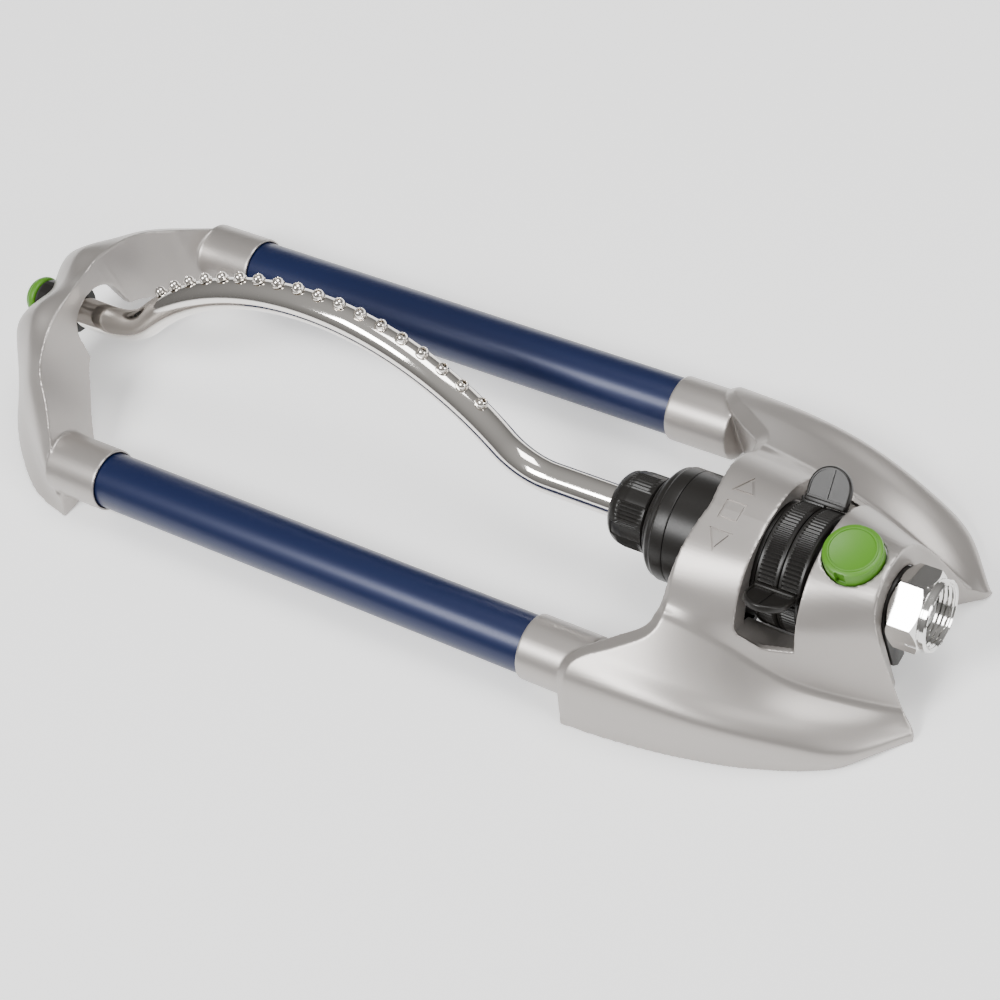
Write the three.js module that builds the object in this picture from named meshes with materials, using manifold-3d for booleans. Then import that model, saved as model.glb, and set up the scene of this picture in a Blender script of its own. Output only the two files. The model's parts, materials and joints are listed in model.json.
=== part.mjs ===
// Oscillating garden sprinkler: a curved spray tube that rocks between a painted end arch and a
// painted motor housing, which two straight rails join.
// All sizes are in millimetres. The working frame has its origin midway between the rails' visible
// ends, at the height of the rails' axes: X runs along the rails towards the hose inlet, Z is up.
// The last lines move that frame so that the origin is the middle of the footprint on the ground.

import * as THREE from "three";
import { mergeVertices } from "three/addons/utils/BufferGeometryUtils.js";
import Module from "manifold-3d";

const wasm = await Module();
wasm.setup();

// ---- Fits -------------------------------------------------------------------------------------
const GAP = 0.3; // between fixed pieces that touch
const RUN = 0.35; // between pieces that turn on each other
const CUT = 1; // how far a cutting solid runs past the face that it cuts

// ---- Overall places ---------------------------------------------------------------------------
const GROUND_Z = -15; // underside of the feet, below the rails' axes
const AXIS_Z = 23; // height of the spray axis above the rails' axes
const BBOX_MID_X = 36; // middle of the whole object along X

// ---- Rails ------------------------------------------------------------------------------------
const RAIL_Y = 63.1; // each rail's axis, either side of the middle
const RAIL_R = 12.7;
const RAIL_WALL = 1.2;
const RAIL_HALF_VISIBLE = 114.4; // from the middle to each collar's mouth
const COLLAR_WALL = 1.5;
const COLLAR_LIP = 2; // the rail's mouth stands this far short of the collar's own end
const SOCKET_DEPTH = 22;
const RAIL_STOP = 1; // room left at the end of each socket

// ---- Spray tube -------------------------------------------------------------------------------
const TUBE_R = 7;
const TUBE_WALL = 1;
const TUBE_MID_X = -28; // the curved tube is symmetrical about this plane
const TUBE_APEX = 47; // height of the arc's centreline above the spray axis
const TUBE_ARC_R = 140;
const TUBE_BEND_R = 37;
const TUBE_LEFT_X = -186.6;
const TUBE_RIGHT_X = 139;
const TUBE_TILT = THREE.MathUtils.degToRad(20); // lean of the arc from upright, towards +Y
const NOZZLES = 18;
const NOZZLE_PITCH = THREE.MathUtils.degToRad(4.2);
const NOZZLE_R = 2.5;
const NOZZLE_BORE = 0.8;
const NOZZLE_RISE = 3.6;

// ---- Motor ------------------------------------------------------------------------------------
const MOTOR_R = 24;
const CAP_FRONT_X = 145;
const CASE_FRONT_X = 158; // seam between the front cap and the case
const JOURNAL_X = 199.3; // where the case steps down to carry the adjuster rings
const CASE_REAR_X = 222;
const CHAMBER_REAR_X = 204; // rear end of the gear chamber
const JOURNAL_R = 21.6;

// ---- Housing ----------------------------------------------------------------------------------
const SHELL_WALL = 2.4;

const part = new THREE.Group();

// ---- Materials --------------------------------------------------------------------------------
const paint = (name, color, roughness, metalness) =>
  new THREE.MeshStandardMaterial({ name, color, roughness, metalness });
const silver = () => paint("silver_paint", 0xc4c0bc, 0.35, 0.6);
const navy = () => paint("navy_anodised", 0x12244f, 0.35, 0.7);
const polished = () => paint("polished_tube", 0xd8d4ce, 0.12, 1);
const jetMetal = () => paint("jet_metal", 0xcfc9bf, 0.18, 1);
const black = () => paint("black_plastic", 0x26241f, 0.4, 0);
const green = () => paint("green_plastic", 0x6aa636, 0.45, 0);
const chrome = () => paint("chrome", 0xd9d9d6, 0.08, 1);
const rubber = () => paint("rubber", 0x161616, 0.85, 0);
const acetal = () => paint("white_acetal", 0xe6e3da, 0.5, 0);
const steel = () => paint("steel", 0xa9a9a6, 0.35, 0.9);

// ---- Solids -----------------------------------------------------------------------------------

// A manifold solid of a closed three.js geometry, with its faces pointing out.
function solid(geometry) {
  const bare = geometry.clone();
  bare.deleteAttribute("normal");
  bare.deleteAttribute("uv");
  const merged = mergeVertices(bare, 1e-4);
  const triVerts = new Uint32Array(merged.index.array);
  const vertProperties = merged.attributes.position.array;
  const made = new wasm.Manifold(new wasm.Mesh({ numProp: 3, vertProperties, triVerts }));
  if (made.volume() > 0) return made;
  for (let i = 0; i < triVerts.length; i += 3) {
    const first = triVerts[i];
    triVerts[i] = triVerts[i + 1];
    triVerts[i + 1] = first;
  }
  return new wasm.Manifold(new wasm.Mesh({ numProp: 3, vertProperties, triVerts }));
}

// A cut solid without the crumbs and pinholes that crossing curved walls can leave.
function mainBody(body) {
  const pieces = body.decompose();
  return pieces.reduce((best, piece) => (piece.volume() > best.volume() ? piece : best));
}

// The three.js geometry of a manifold solid.
function geometryOf(body) {
  const mesh = body.getMesh();
  const geometry = new THREE.BufferGeometry();
  const positions = new Float32Array(mesh.vertProperties);
  geometry.setAttribute("position", new THREE.BufferAttribute(positions, 3));
  geometry.setIndex(new THREE.BufferAttribute(new Uint32Array(mesh.triVerts), 1));
  geometry.computeVertexNormals();
  return geometry;
}

function addMesh(name, shape, material, group = part) {
  const geometry = shape.isBufferGeometry ? shape : geometryOf(shape);
  const mesh = new THREE.Mesh(geometry, material);
  mesh.name = name;
  group.add(mesh);
  return mesh;
}

// A turned solid about the line (x, y, z) + X. The profile lists [radius, x] pairs.
function turnedX(profile, y, z, segments) {
  const points = profile.map(([radius, x]) => new THREE.Vector2(radius, -x));
  const geometry = new THREE.LatheGeometry(points, segments);
  geometry.rotateZ(Math.PI / 2);
  geometry.translate(0, y, z);
  return solid(geometry);
}

function rodX(radius, x0, x1, y, z, segments) {
  return turnedX([[0, x0], [radius, x0], [radius, x1], [0, x1]], y, z, segments);
}

function ringX(outer, inner, x0, x1, y, z, segments) {
  const profile = [[inner, x0], [outer, x0], [outer, x1], [inner, x1], [inner, x0]];
  return turnedX(profile, y, z, segments);
}

// A turned solid about an upright line. The profile lists [radius, z] pairs.
function turnedZ(profile, x, y, segments) {
  const points = profile.map(([radius, z]) => new THREE.Vector2(radius, z));
  const geometry = new THREE.LatheGeometry(points, segments);
  geometry.rotateX(Math.PI / 2);
  geometry.translate(x, y, 0);
  return solid(geometry);
}

function rodZ(radius, z0, z1, x, y, segments) {
  return turnedZ([[0, z0], [radius, z0], [radius, z1], [0, z1]], x, y, segments);
}

function box(x0, x1, y0, y1, z0, z1) {
  const geometry = new THREE.BoxGeometry(x1 - x0, y1 - y0, z1 - z0);
  geometry.translate((x0 + x1) / 2, (y0 + y1) / 2, (z0 + z1) / 2);
  return solid(geometry);
}

// A plate whose outline lies in the Y-Z plane, from x0 to x1.
function plateX(outline, x0, x1) {
  const shape = new THREE.Shape(outline.map(([y, z]) => new THREE.Vector2(y, z)));
  const geometry = new THREE.ExtrudeGeometry(shape, { depth: x1 - x0, bevelEnabled: false });
  geometry.rotateX(Math.PI / 2);
  geometry.rotateZ(Math.PI / 2);
  geometry.translate(x0, 0, 0);
  return solid(geometry);
}

// A block whose outline lies in plan, from z0 to z1.
function plateZ(outline, z0, z1) {
  const shape = new THREE.Shape(outline.map(([x, y]) => new THREE.Vector2(x, y)));
  const geometry = new THREE.ExtrudeGeometry(shape, { depth: z1 - z0, bevelEnabled: false });
  geometry.translate(0, 0, z0);
  return solid(geometry);
}

// A solid skinned over rings of equally many points, with a fan over its first and last ring.
function loft(rings) {
  const count = rings[0].length;
  const points = rings.flat();
  const index = [];
  for (let ring = 0; ring + 1 < rings.length; ring++) {
    for (let i = 0; i < count; i++) {
      const a = ring * count + i;
      const b = ring * count + ((i + 1) % count);
      index.push(a, b, a + count);
      index.push(b, b + count, a + count);
    }
  }
  for (const [ring, flip] of [[0, true], [rings.length - 1, false]]) {
    const hub = points.length;
    points.push(middleOf(rings[ring]));
    for (let i = 0; i < count; i++) {
      const a = ring * count + i;
      const b = ring * count + ((i + 1) % count);
      index.push(...(flip ? [b, a, hub] : [a, b, hub]));
    }
  }
  const positions = points.flatMap((point) => [point.x, point.y, point.z]);
  const geometry = new THREE.BufferGeometry();
  geometry.setAttribute("position", new THREE.Float32BufferAttribute(positions, 3));
  geometry.setIndex(index);
  return solid(geometry);
}

function middleOf(ring) {
  const sum = ring.reduce((total, point) => total.add(point), new THREE.Vector3());
  return sum.divideScalar(ring.length);
}

// A smooth curve through [parameter, ...values] rows, read at one parameter.
function along(rows, parameter) {
  const width = rows[0].length - 1;
  const last = rows.length - 1;
  let i = 0;
  while (i < last - 1 && parameter > rows[i + 1][0]) i++;
  const before = rows[Math.max(i - 1, 0)];
  const after = rows[Math.min(i + 2, last)];
  const [start, end] = [rows[i], rows[i + 1]];
  const span = end[0] - start[0];
  const t = THREE.MathUtils.clamp((parameter - start[0]) / span, 0, 1);
  const values = [];
  for (let k = 1; k <= width; k++) {
    const slopeIn = ((end[k] - before[k]) / (end[0] - before[0])) * span;
    const slopeOut = ((after[k] - start[k]) / (after[0] - start[0])) * span;
    const drop = start[k] - end[k];
    const cubic = 2 * drop + slopeIn + slopeOut;
    const square = -3 * drop - 2 * slopeIn - slopeOut;
    values.push(((cubic * t + square) * t + slopeIn) * t + start[k]);
  }
  return values;
}

function stations(from, to, steps) {
  return Array.from({ length: steps + 1 }, (_, i) => from + ((to - from) * i) / steps);
}

// ---- Rails ------------------------------------------------------------------------------------

const RAIL_END_X = RAIL_HALF_VISIBLE + SOCKET_DEPTH;
const COLLAR_R = RAIL_R + COLLAR_WALL;
const SIDES = [["near", -1], ["far", 1]];

function addRails() {
  for (const [side, sign] of SIDES) {
    const inner = RAIL_R - RAIL_WALL;
    const tube = ringX(RAIL_R, inner, -RAIL_END_X, RAIL_END_X, sign * RAIL_Y, 0, 40);
    const holes = grubHoles(-1, GRUB_R + GAP).add(grubHoles(1, GRUB_R + GAP));
    addMesh(`rail_${side}`, tube.subtract(holes), navy());
  }
}

// Blind sockets that take the rails' ends at one end of the frame, with the screw holes below.
function railSockets(end) {
  const cuts = [];
  for (const [, sign] of SIDES) {
    const mouth = end * (RAIL_HALF_VISIBLE - COLLAR_LIP - CUT);
    const floor = end * (RAIL_END_X + RAIL_STOP);
    const [x0, x1] = mouth < floor ? [mouth, floor] : [floor, mouth];
    cuts.push(rodX(RAIL_R + GAP, x0, x1, sign * RAIL_Y, 0, 40));
  }
  return cuts.reduce((all, cut) => all.add(cut));
}

// The two collars that hold the rails at one end, from their mouths in to an anchoring plane.
function collars(end, anchorX) {
  const made = [];
  for (const [, sign] of SIDES) {
    const mouth = end * (RAIL_HALF_VISIBLE - COLLAR_LIP);
    const [x0, x1] = mouth < anchorX ? [mouth, anchorX] : [anchorX, mouth];
    made.push(rodX(COLLAR_R, x0, x1, sign * RAIL_Y, 0, 40));
  }
  return made.reduce((all, collar) => all.add(collar));
}

// ---- Rail screws: a grub screw holds each rail's end from below its collar -----------------------

const GRUB_R = 1.7;
const GRUB_X = 123; // from the middle to each grub screw
const GRUB_TOP_Z = -8.5;
const GRUB_FLUSH = 0.3; // how far its end stands back inside the collar

function grubHoles(end, radius) {
  const holes = SIDES.map(([, sign]) =>
    rodZ(radius, -COLLAR_R - CUT, GRUB_TOP_Z, end * GRUB_X, sign * RAIL_Y, 12));
  return holes[0].add(holes[1]);
}

function addGrubScrews() {
  for (const [endName, end] of [["arch", -1], ["housing", 1]]) {
    for (const [side, sign] of SIDES) {
      const low = GRUB_FLUSH - COLLAR_R;
      const screw = rodZ(GRUB_R, low, GRUB_TOP_Z, end * GRUB_X, sign * RAIL_Y, 12);
      addMesh(`rail_screw_${endName}_${side}`, screw, steel());
    }
  }
}

// ---- Motor housing shell ------------------------------------------------------------------------

// The crown is a wide low arch whose side profile narrows towards the inlet.
const CROWN_TOP_Z = 49.5;
const CROWN_REAR_DROP = 1.5; // the crown's top sinks this much by its rear edge
const CROWN_PROFILE = [[0, 0], [0.28, 0.9], [0.52, 3.5], [0.75, 9.3], [0.96, 18]];
const CROWN_HALF = [[131, 44], [165, 41], [197, 37.5], [225, 32], [248, 24.5], [268, 20]];
// Rows of x, then distance from the middle and height.
const FOLD = [[131, 47, 27], [165, 42.5, 30], [193, 42, 22], [219, 41, 9], [240, 36, 1], [268, 27, -7]];
const RIM = [[131, 63, 20], [170, 62, 17], [200, 59, 11], [230, 53, 3], [250, 44, -4], [268, 32, -11]];
const SHOULDER = [[131, 75, 12], [170, 73.5, 11], [200, 70, 7], [230, 62, 0], [250, 53, -7], [268, 34, -12]];
const SKIRT = [[131, 80.5, 0], [170, 78.5, -2], [200, 74, -5], [230, 65.5, -8], [250, 55.5, -11], [268, 35, -13.5]];
const HEM = [[131, 84.5], [155, 83], [185, 79], [215, 71.9], [245, 59.2], [258, 46], [268, 36]];
const FRONT_EDGE = [[0, 172], [26, 168.5], [40, 165.5], [47, 162], [54, 151], [62, 140], [70, 134.5], [90, 133]];
const REAR_EDGE = [[0, 250], [15, 250.5], [20, 252], [25, 256.5], [30, 263], [33, 267], [38, 268], [90, 268]];
const SHELL_X0 = 129;
const SHELL_X1 = 269;

// One cross-section of the shell's outside, or of its inside when it is drawn in by a wall.
function shellRing(x, wall) {
  const [half] = along(CROWN_HALF, x);
  const sink = CROWN_REAR_DROP * THREE.MathUtils.smoothstep(x, 200, 250);
  const top = CROWN_TOP_Z - sink;
  const profile = CROWN_PROFILE.map(([k, drop]) => [k * half, top - drop]);
  for (const guide of [FOLD, RIM, SHOULDER, SKIRT]) profile.push(along(guide, x));
  profile.push([along(HEM, x)[0], GROUND_Z]);
  const inner = wall === 0 ? profile : drawnIn(profile, wall);
  if (wall > 0) inner[inner.length - 1][1] = GROUND_Z - CUT;
  const far = inner.map(([y, z]) => new THREE.Vector3(x, y, z));
  const near = inner.slice(1).reverse().map(([y, z]) => new THREE.Vector3(x, -y, z));
  return [...near, ...far];
}

// A profile moved inwards by a wall, square to its own direction.
function drawnIn(profile, wall) {
  return profile.map(([y, z], i) => {
    const [y0, z0] = profile[Math.max(i - 1, 0)];
    const [y1, z1] = profile[Math.min(i + 1, profile.length - 1)];
    const length = Math.hypot(y1 - y0, z1 - z0);
    const outwardY = i === 0 ? 0 : (z0 - z1) / length;
    const outwardZ = i === 0 ? 1 : (y1 - y0) / length;
    return [y - wall * outwardY, z - wall * outwardZ];
  });
}

// The shell's outline in plan between its front and rear edges, drawn in by a wall.
function shellPlan(wall) {
  const half = stations(0, 88, 27);
  const front = half.map((y) => [along(FRONT_EDGE, y)[0] + wall, y]);
  const rear = half.map((y) => [along(REAR_EDGE, y)[0] - wall, y]).reverse();
  const far = [...front, ...rear];
  const near = far.slice(0, -1).map(([x, y]) => [x, -y]).reverse();
  return [...far, ...near.slice(0, -1)];
}

function shellBlock(wall) {
  const rings = stations(SHELL_X0, SHELL_X1, 17).map((x) => shellRing(x, wall));
  return loft(rings).intersect(plateZ(shellPlan(wall), GROUND_Z - 2 * CUT, CROWN_TOP_Z + CUT));
}

// Adjuster slot over the crown, with side walls that reach down beside the drum.
const SLOT_X0 = 198;
const SLOT_X1 = 222;
const SLOT_HALF_Y = 38;
const SLOT_WALL = 1.6;
const SLOT_DEPTH = 7;
const SLOT_CORNER = 3;
const KNOB_X = 234.7;
const KNOB_R = 12;
const MOTOR_OPENING_R = MOTOR_R + 0.6;
const BAY_X = 176; // the shell is open below the motor as far back as this
const BAY_HALF_Y = 40;
const INLET_OPENING_R = 15;

function roundedPlan(x0, x1, half, corner) {
  const outline = [];
  const centres = [[x1 - corner, half - corner, 0], [x0 + corner, half - corner, 1]];
  centres.push([x0 + corner, corner - half, 2], [x1 - corner, corner - half, 3]);
  for (const [x, y, quarter] of centres) {
    for (const turn of stations(0, Math.PI / 2, 2)) {
      const angle = turn + (quarter * Math.PI) / 2;
      outline.push([x + corner * Math.cos(angle), y + corner * Math.sin(angle)]);
    }
  }
  return outline;
}

function slotBlock(grow, z0) {
  const half = SLOT_HALF_Y + grow;
  const outline = roundedPlan(SLOT_X0 - grow, SLOT_X1 + grow, half, SLOT_CORNER + grow);
  return plateZ(outline, z0, CROWN_TOP_Z + CUT);
}

// The walls of the slot: a collar under the crown that follows the drum.
function slotCollar() {
  const kept = shellBlock(SHELL_WALL / 2).subtract(shellBlock(SHELL_WALL + SLOT_DEPTH));
  return slotBlock(SLOT_WALL, AXIS_Z).intersect(kept);
}

const SCREW_R = 1.7;
const SCREW_HEAD_R = 3.2;
const SCREW_HEAD_H = 2;
const SCREW_LENGTH = 14;
const BOSS_R = 4.4;
const BOSS_X = 184;
const BOSS_Y = 33;
const CRADLE_TOP_Z = AXIS_Z - MOTOR_R - GAP;
const CRADLE_H = 3;
const CRADLE_Z = CRADLE_TOP_Z - CRADLE_H;

// Two posts inside the shell that the motor's cradle is screwed up to.
function cradleBosses() {
  const posts = [-1, 1].map((sign) =>
    rodZ(BOSS_R, CRADLE_TOP_Z + GAP, CROWN_TOP_Z, BOSS_X, sign * BOSS_Y, 16));
  return posts[0].add(posts[1]).intersect(shellBlock(SHELL_WALL / 2));
}

function pilotHoles(z) {
  const holes = [-1, 1].map((sign) =>
    rodZ(SCREW_R + GAP, CRADLE_Z - CUT, z, BOSS_X, sign * BOSS_Y, 12));
  return holes[0].add(holes[1]);
}

const ANCHOR_X = 142; // the collars' roots, just inside the wings

function housingShell() {
  const openings = [
    rodX(MOTOR_OPENING_R, SHELL_X0, SLOT_X1, 0, AXIS_Z, 40),
    rodX(JOURNAL_R, SLOT_X1 - CUT, SLOT_X1 + 2 * SLOT_WALL, 0, AXIS_Z, 32),
    rodX(INLET_OPENING_R, SLOT_X1, SHELL_X1 + CUT, 0, AXIS_Z, 32),
    box(SLOT_X1, SHELL_X1 + CUT, -INLET_OPENING_R, INLET_OPENING_R, GROUND_Z - CUT, AXIS_Z),
    box(SHELL_X0, BAY_X, -BAY_HALF_Y, BAY_HALF_Y, GROUND_Z - CUT, AXIS_Z),
    rodZ(KNOB_R + GAP, AXIS_Z, CROWN_TOP_Z + CUT, KNOB_X, 0, 40),
    railSockets(1),
    grubHoles(1, GRUB_R + GAP),
  ];
  let shell = shellBlock(0).subtract(shellBlock(SHELL_WALL));
  shell = shell.add(slotCollar()).subtract(slotBlock(0, AXIS_Z - CUT));
  shell = shell.add(cradleBosses()).add(collars(1, ANCHOR_X));
  for (const opening of openings) shell = shell.subtract(opening);
  return mainBody(shell.subtract(pilotHoles(CRADLE_Z + SCREW_LENGTH)));
}

// ---- End arch -----------------------------------------------------------------------------------

// Guide curves of the arch from its middle (0) to its foot (1), for the far half: x, y, z.
const CREST = [[0, -157, 0, 48], [0.2, -157.5, 18.5, 45.7], [0.35, -157, 33, 40],
  [0.47, -154, 42.5, 35], [0.6, -147, 52, 28], [0.75, -142, 62, 19], [0.9, -138, 72, 8], [1, -134, 78, -3]];
const BULGE = [[0, -186, 0, 26], [0.15, -186.5, 15, 28], [0.28, -186, 25, 25], [0.42, -180, 40, 15],
  [0.6, -169, 55, 6], [0.8, -154, 70, -2], [1, -135, 80.5, -8]];
const BRIM = [[0, -187, 0, 8], [0.2, -190, 20, 6], [0.35, -187, 38, 1], [0.5, -182, 52, -5],
  [0.65, -171, 66, -11], [0.8, -156, 77, -14.5], [1, -135, 82.5, -15]];
const SILL = [[0, -154, 0, 16], [0.2, -153, 17, 14], [0.35, -148, 29, 6], [0.5, -142, 40, 0],
  [0.7, -137, 48, -5], [0.85, -134, 56, -12], [1, -132, 68, -15]];
const ARCH_WALL = 2.6;
const ARCH_STEPS = 24;

// One cross-section of the arch, which runs from foot (-1) to foot (1).
function archRing(place) {
  const sign = place < 0 ? -1 : 1;
  const corners = [CREST, BULGE, BRIM, SILL].map((guide) => {
    const [x, y, z] = along(guide, Math.abs(place));
    return new THREE.Vector3(x, sign * y, z);
  });
  const [crest, bulge, brim, sill] = corners;
  const brow = crest.clone().lerp(bulge, 0.45);
  brow.x -= 1.5;
  brow.z += 4;
  return [crest, brow, bulge, brim, sill];
}

// A section drawn in by a wall, and let out below, for the hollow inside the arch.
function hollowRing(place) {
  const ring = archRing(place);
  const middle = middleOf(ring);
  const [crest, brow, bulge, brim, sill] = ring.map((point) => {
    const inward = middle.clone().sub(point).setLength(ARCH_WALL * 1.35);
    return point.clone().add(inward);
  });
  for (const edge of [brim, sill]) edge.z -= ARCH_WALL * 4;
  return [crest, brow, bulge, brim, sill];
}

const BEARING_X0 = -186.5; // outer face of the arch's bearing boss
const BEARING_X1 = -170;
const BEARING_R = 12;
const BUSHING_R = 9.2;
const MOUTH_R = 15;
const ARCH_ANCHOR_X = -141;

function mouthCut() {
  const round = rodX(MOUTH_R, BEARING_X1, -145, 0, AXIS_Z, 32);
  const below = plateX([[-MOUTH_R, AXIS_Z], [MOUTH_R, AXIS_Z], [20, -8], [-20, -8]], BEARING_X1, -145);
  return round.add(below);
}

function endArch() {
  const places = stations(-1, 1, ARCH_STEPS);
  const outside = loft(places.map(archRing));
  const hollow = loft(places.slice(1, -1).map(hollowRing));
  const boss = rodX(BEARING_R, BEARING_X0, BEARING_X1, 0, AXIS_Z, 32);
  let arch = outside.subtract(hollow).add(boss.intersect(outside));
  arch = arch.subtract(mouthCut()).add(collars(-1, ARCH_ANCHOR_X));
  arch = arch.subtract(rodX(BUSHING_R + GAP, BEARING_X0 - 10, BEARING_X1 + CUT, 0, AXIS_Z, 32));
  return mainBody(arch.subtract(railSockets(-1)).subtract(grubHoles(-1, GRUB_R + GAP)));
}

// ---- Motor cradle: a bar below the motor, screwed up into the shell -------------------------------

const CRADLE_HALF_WIDTH = 6;

function addCradle() {
  const half = BOSS_Y + BOSS_R + 1;
  const bar = box(BOSS_X - CRADLE_HALF_WIDTH, BOSS_X + CRADLE_HALF_WIDTH, -half, half, CRADLE_Z, CRADLE_TOP_Z);
  addMesh("motor_cradle", bar.subtract(pilotHoles(CRADLE_TOP_Z + CUT)), black());
  for (const [side, sign] of SIDES) {
    const low = CRADLE_Z - GAP;
    const profile = [[0, low - SCREW_HEAD_H], [SCREW_HEAD_R * 0.7, low - SCREW_HEAD_H]];
    profile.push([SCREW_HEAD_R, low - SCREW_HEAD_H * 0.4], [SCREW_HEAD_R, low], [SCREW_R, low]);
    profile.push([SCREW_R, low + SCREW_LENGTH], [0, low + SCREW_LENGTH]);
    addMesh(`cradle_screw_${side}`, turnedZ(profile, BOSS_X, sign * BOSS_Y, 12), steel());
  }
}

// ---- Spray tube and nozzles, drawn upright about the spray axis and then tilted --------------------

const spray = new THREE.Group();
spray.position.set(0, 0, AXIS_Z);
spray.rotation.x = -TUBE_TILT;
part.add(spray);

// Centreline of the tube: straight, a reverse bend, the arc, a reverse bend, straight.
const ARC_HALF = Math.acos((TUBE_BEND_R + TUBE_ARC_R - TUBE_APEX) / (TUBE_BEND_R + TUBE_ARC_R));
const BEND_REACH = (TUBE_ARC_R + TUBE_BEND_R) * Math.sin(ARC_HALF);

class TubePath extends THREE.Curve {
  constructor(x0, x1) {
    super();
    const left = TUBE_MID_X - BEND_REACH;
    const right = TUBE_MID_X + BEND_REACH;
    const bend = TUBE_BEND_R * ARC_HALF;
    const arc = 2 * TUBE_ARC_R * ARC_HALF;
    this.lengths = [left - x0, bend, arc, bend, x1 - right];
    this.starts = { x0, left, right };
    this.total = this.lengths.reduce((sum, length) => sum + length, 0);
  }

  getPoint(t) {
    let run = t * this.total;
    let piece = 0;
    while (piece < this.lengths.length - 1 && run > this.lengths[piece]) {
      run -= this.lengths[piece];
      piece++;
    }
    const { x0, left, right } = this.starts;
    if (piece === 0) return new THREE.Vector3(x0 + run, 0, 0);
    if (piece === 4) return new THREE.Vector3(right + run, 0, 0);
    if (piece === 2) return arcPoint(run / TUBE_ARC_R - ARC_HALF, TUBE_ARC_R);
    const turn = piece === 1 ? run / TUBE_BEND_R : ARC_HALF - run / TUBE_BEND_R;
    const reach = TUBE_BEND_R * Math.sin(turn);
    const x = piece === 1 ? left + reach : right - reach;
    return new THREE.Vector3(x, 0, TUBE_BEND_R * (1 - Math.cos(turn)));
  }
}

// A point at an angle from the top of the arc and a distance from its centre.
function arcPoint(angle, radius) {
  const z = TUBE_APEX - TUBE_ARC_R + radius * Math.cos(angle);
  return new THREE.Vector3(TUBE_MID_X + radius * Math.sin(angle), 0, z);
}

const TUBE_STEPS = 32;
const TUBE_SIDES = 8;

function tubeSolid(radius, x0, x1) {
  const shape = new THREE.Shape();
  shape.absarc(0, 0, radius, 0, 2 * Math.PI);
  const options = { steps: TUBE_STEPS, curveSegments: TUBE_SIDES, bevelEnabled: false };
  return solid(new THREE.ExtrudeGeometry(shape, { ...options, extrudePath: new TubePath(x0, x1) }));
}

const NOZZLE_STEM_R = 1.5;
const NOZZLE_ROOT = TUBE_R - 2.2;
const nozzleAngles = stations(-(NOZZLES - 1) / 2, (NOZZLES - 1) / 2, NOZZLES - 1).map(
  (step) => step * NOZZLE_PITCH,
);

// A turned solid about the radius of the arc at an angle. The profile lists [radius, distance].
function turnedOnArc(profile, angle, segments) {
  const points = profile.map(([radius, distance]) => new THREE.Vector2(radius, distance));
  const geometry = new THREE.LatheGeometry(points, segments);
  geometry.rotateX(Math.PI / 2);
  geometry.rotateY(angle);
  const base = arcPoint(angle, TUBE_ARC_R);
  geometry.translate(base.x, base.y, base.z);
  return geometry;
}

function nozzleGeometry(angle) {
  const seat = TUBE_R + GAP;
  const tip = TUBE_R + NOZZLE_RISE;
  const profile = [[NOZZLE_BORE, NOZZLE_ROOT], [NOZZLE_STEM_R, NOZZLE_ROOT], [NOZZLE_STEM_R, seat]];
  profile.push([NOZZLE_R, seat], [NOZZLE_R, seat + 1.6], [NOZZLE_R - 0.8, tip], [NOZZLE_BORE, tip]);
  profile.push([NOZZLE_BORE, NOZZLE_ROOT]);
  return turnedOnArc(profile, angle, 7);
}

function addSprayTube() {
  const bore = TUBE_R - TUBE_WALL;
  let tube = tubeSolid(TUBE_R, TUBE_LEFT_X, TUBE_RIGHT_X);
  tube = tube.subtract(tubeSolid(bore, TUBE_LEFT_X - CUT, TUBE_RIGHT_X + CUT));
  const hole = NOZZLE_STEM_R + GAP;
  for (const angle of nozzleAngles) {
    const cutter = [[0, NOZZLE_ROOT - CUT], [hole, NOZZLE_ROOT - CUT], [hole, TUBE_R + CUT]];
    cutter.push([0, TUBE_R + CUT]);
    tube = tube.subtract(solid(turnedOnArc(cutter, angle, 6)));
  }
  addMesh("spray_tube", mainBody(tube), polished(), spray);
  nozzleAngles.forEach((angle, i) => {
    const name = `nozzle_${String(i + 1).padStart(2, "0")}`;
    addMesh(name, solid(nozzleGeometry(angle)), jetMetal(), spray);
  });
}

// ---- Nut, packing and hollow output shaft at the motor end of the tube ----------------------------

const NUT_X0 = 125;
const NUT_X1 = 143.7;
const NUT_R = 16.2;
const PACKING_X = 131.4;
const SPIGOT_X = 133.5;
const SPIGOT_R = 10.2;
const SHAFT_R = 8;
const SHAFT_BORE = 5;
const SHAFT_END_X = 160;
const ROCKER_H = 3.4;
const ROCKER_ARM = 6.5; // from the spray axis to the drive link's pivot
const LINK_X0 = SHAFT_END_X + ROCKER_H + 0.4;
const LINK_H = 2.2;
const FLANGE_R = 9;
const PIVOT_R = 1;

function addTubeNut() {
  const bore = TUBE_R + GAP;
  const profile = [[bore, NUT_X0], [NUT_R * 0.68, NUT_X0], [NUT_R * 0.85, NUT_X0 + 1.5]];
  profile.push([NUT_R * 0.96, NUT_X0 + 4], [NUT_R, NUT_X0 + 8], [NUT_R, NUT_X1]);
  profile.push([SPIGOT_R + GAP, NUT_X1], [SPIGOT_R + GAP, PACKING_X - GAP], [bore, PACKING_X - GAP]);
  profile.push([bore, NUT_X0]);
  addMesh("tube_nut", turnedX(profile, 0, 0, 28), black(), spray);
  const packing = ringX(SPIGOT_R, bore, PACKING_X, SPIGOT_X - GAP, 0, 0, 24);
  addMesh("tube_packing", packing, rubber(), spray);
}

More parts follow.
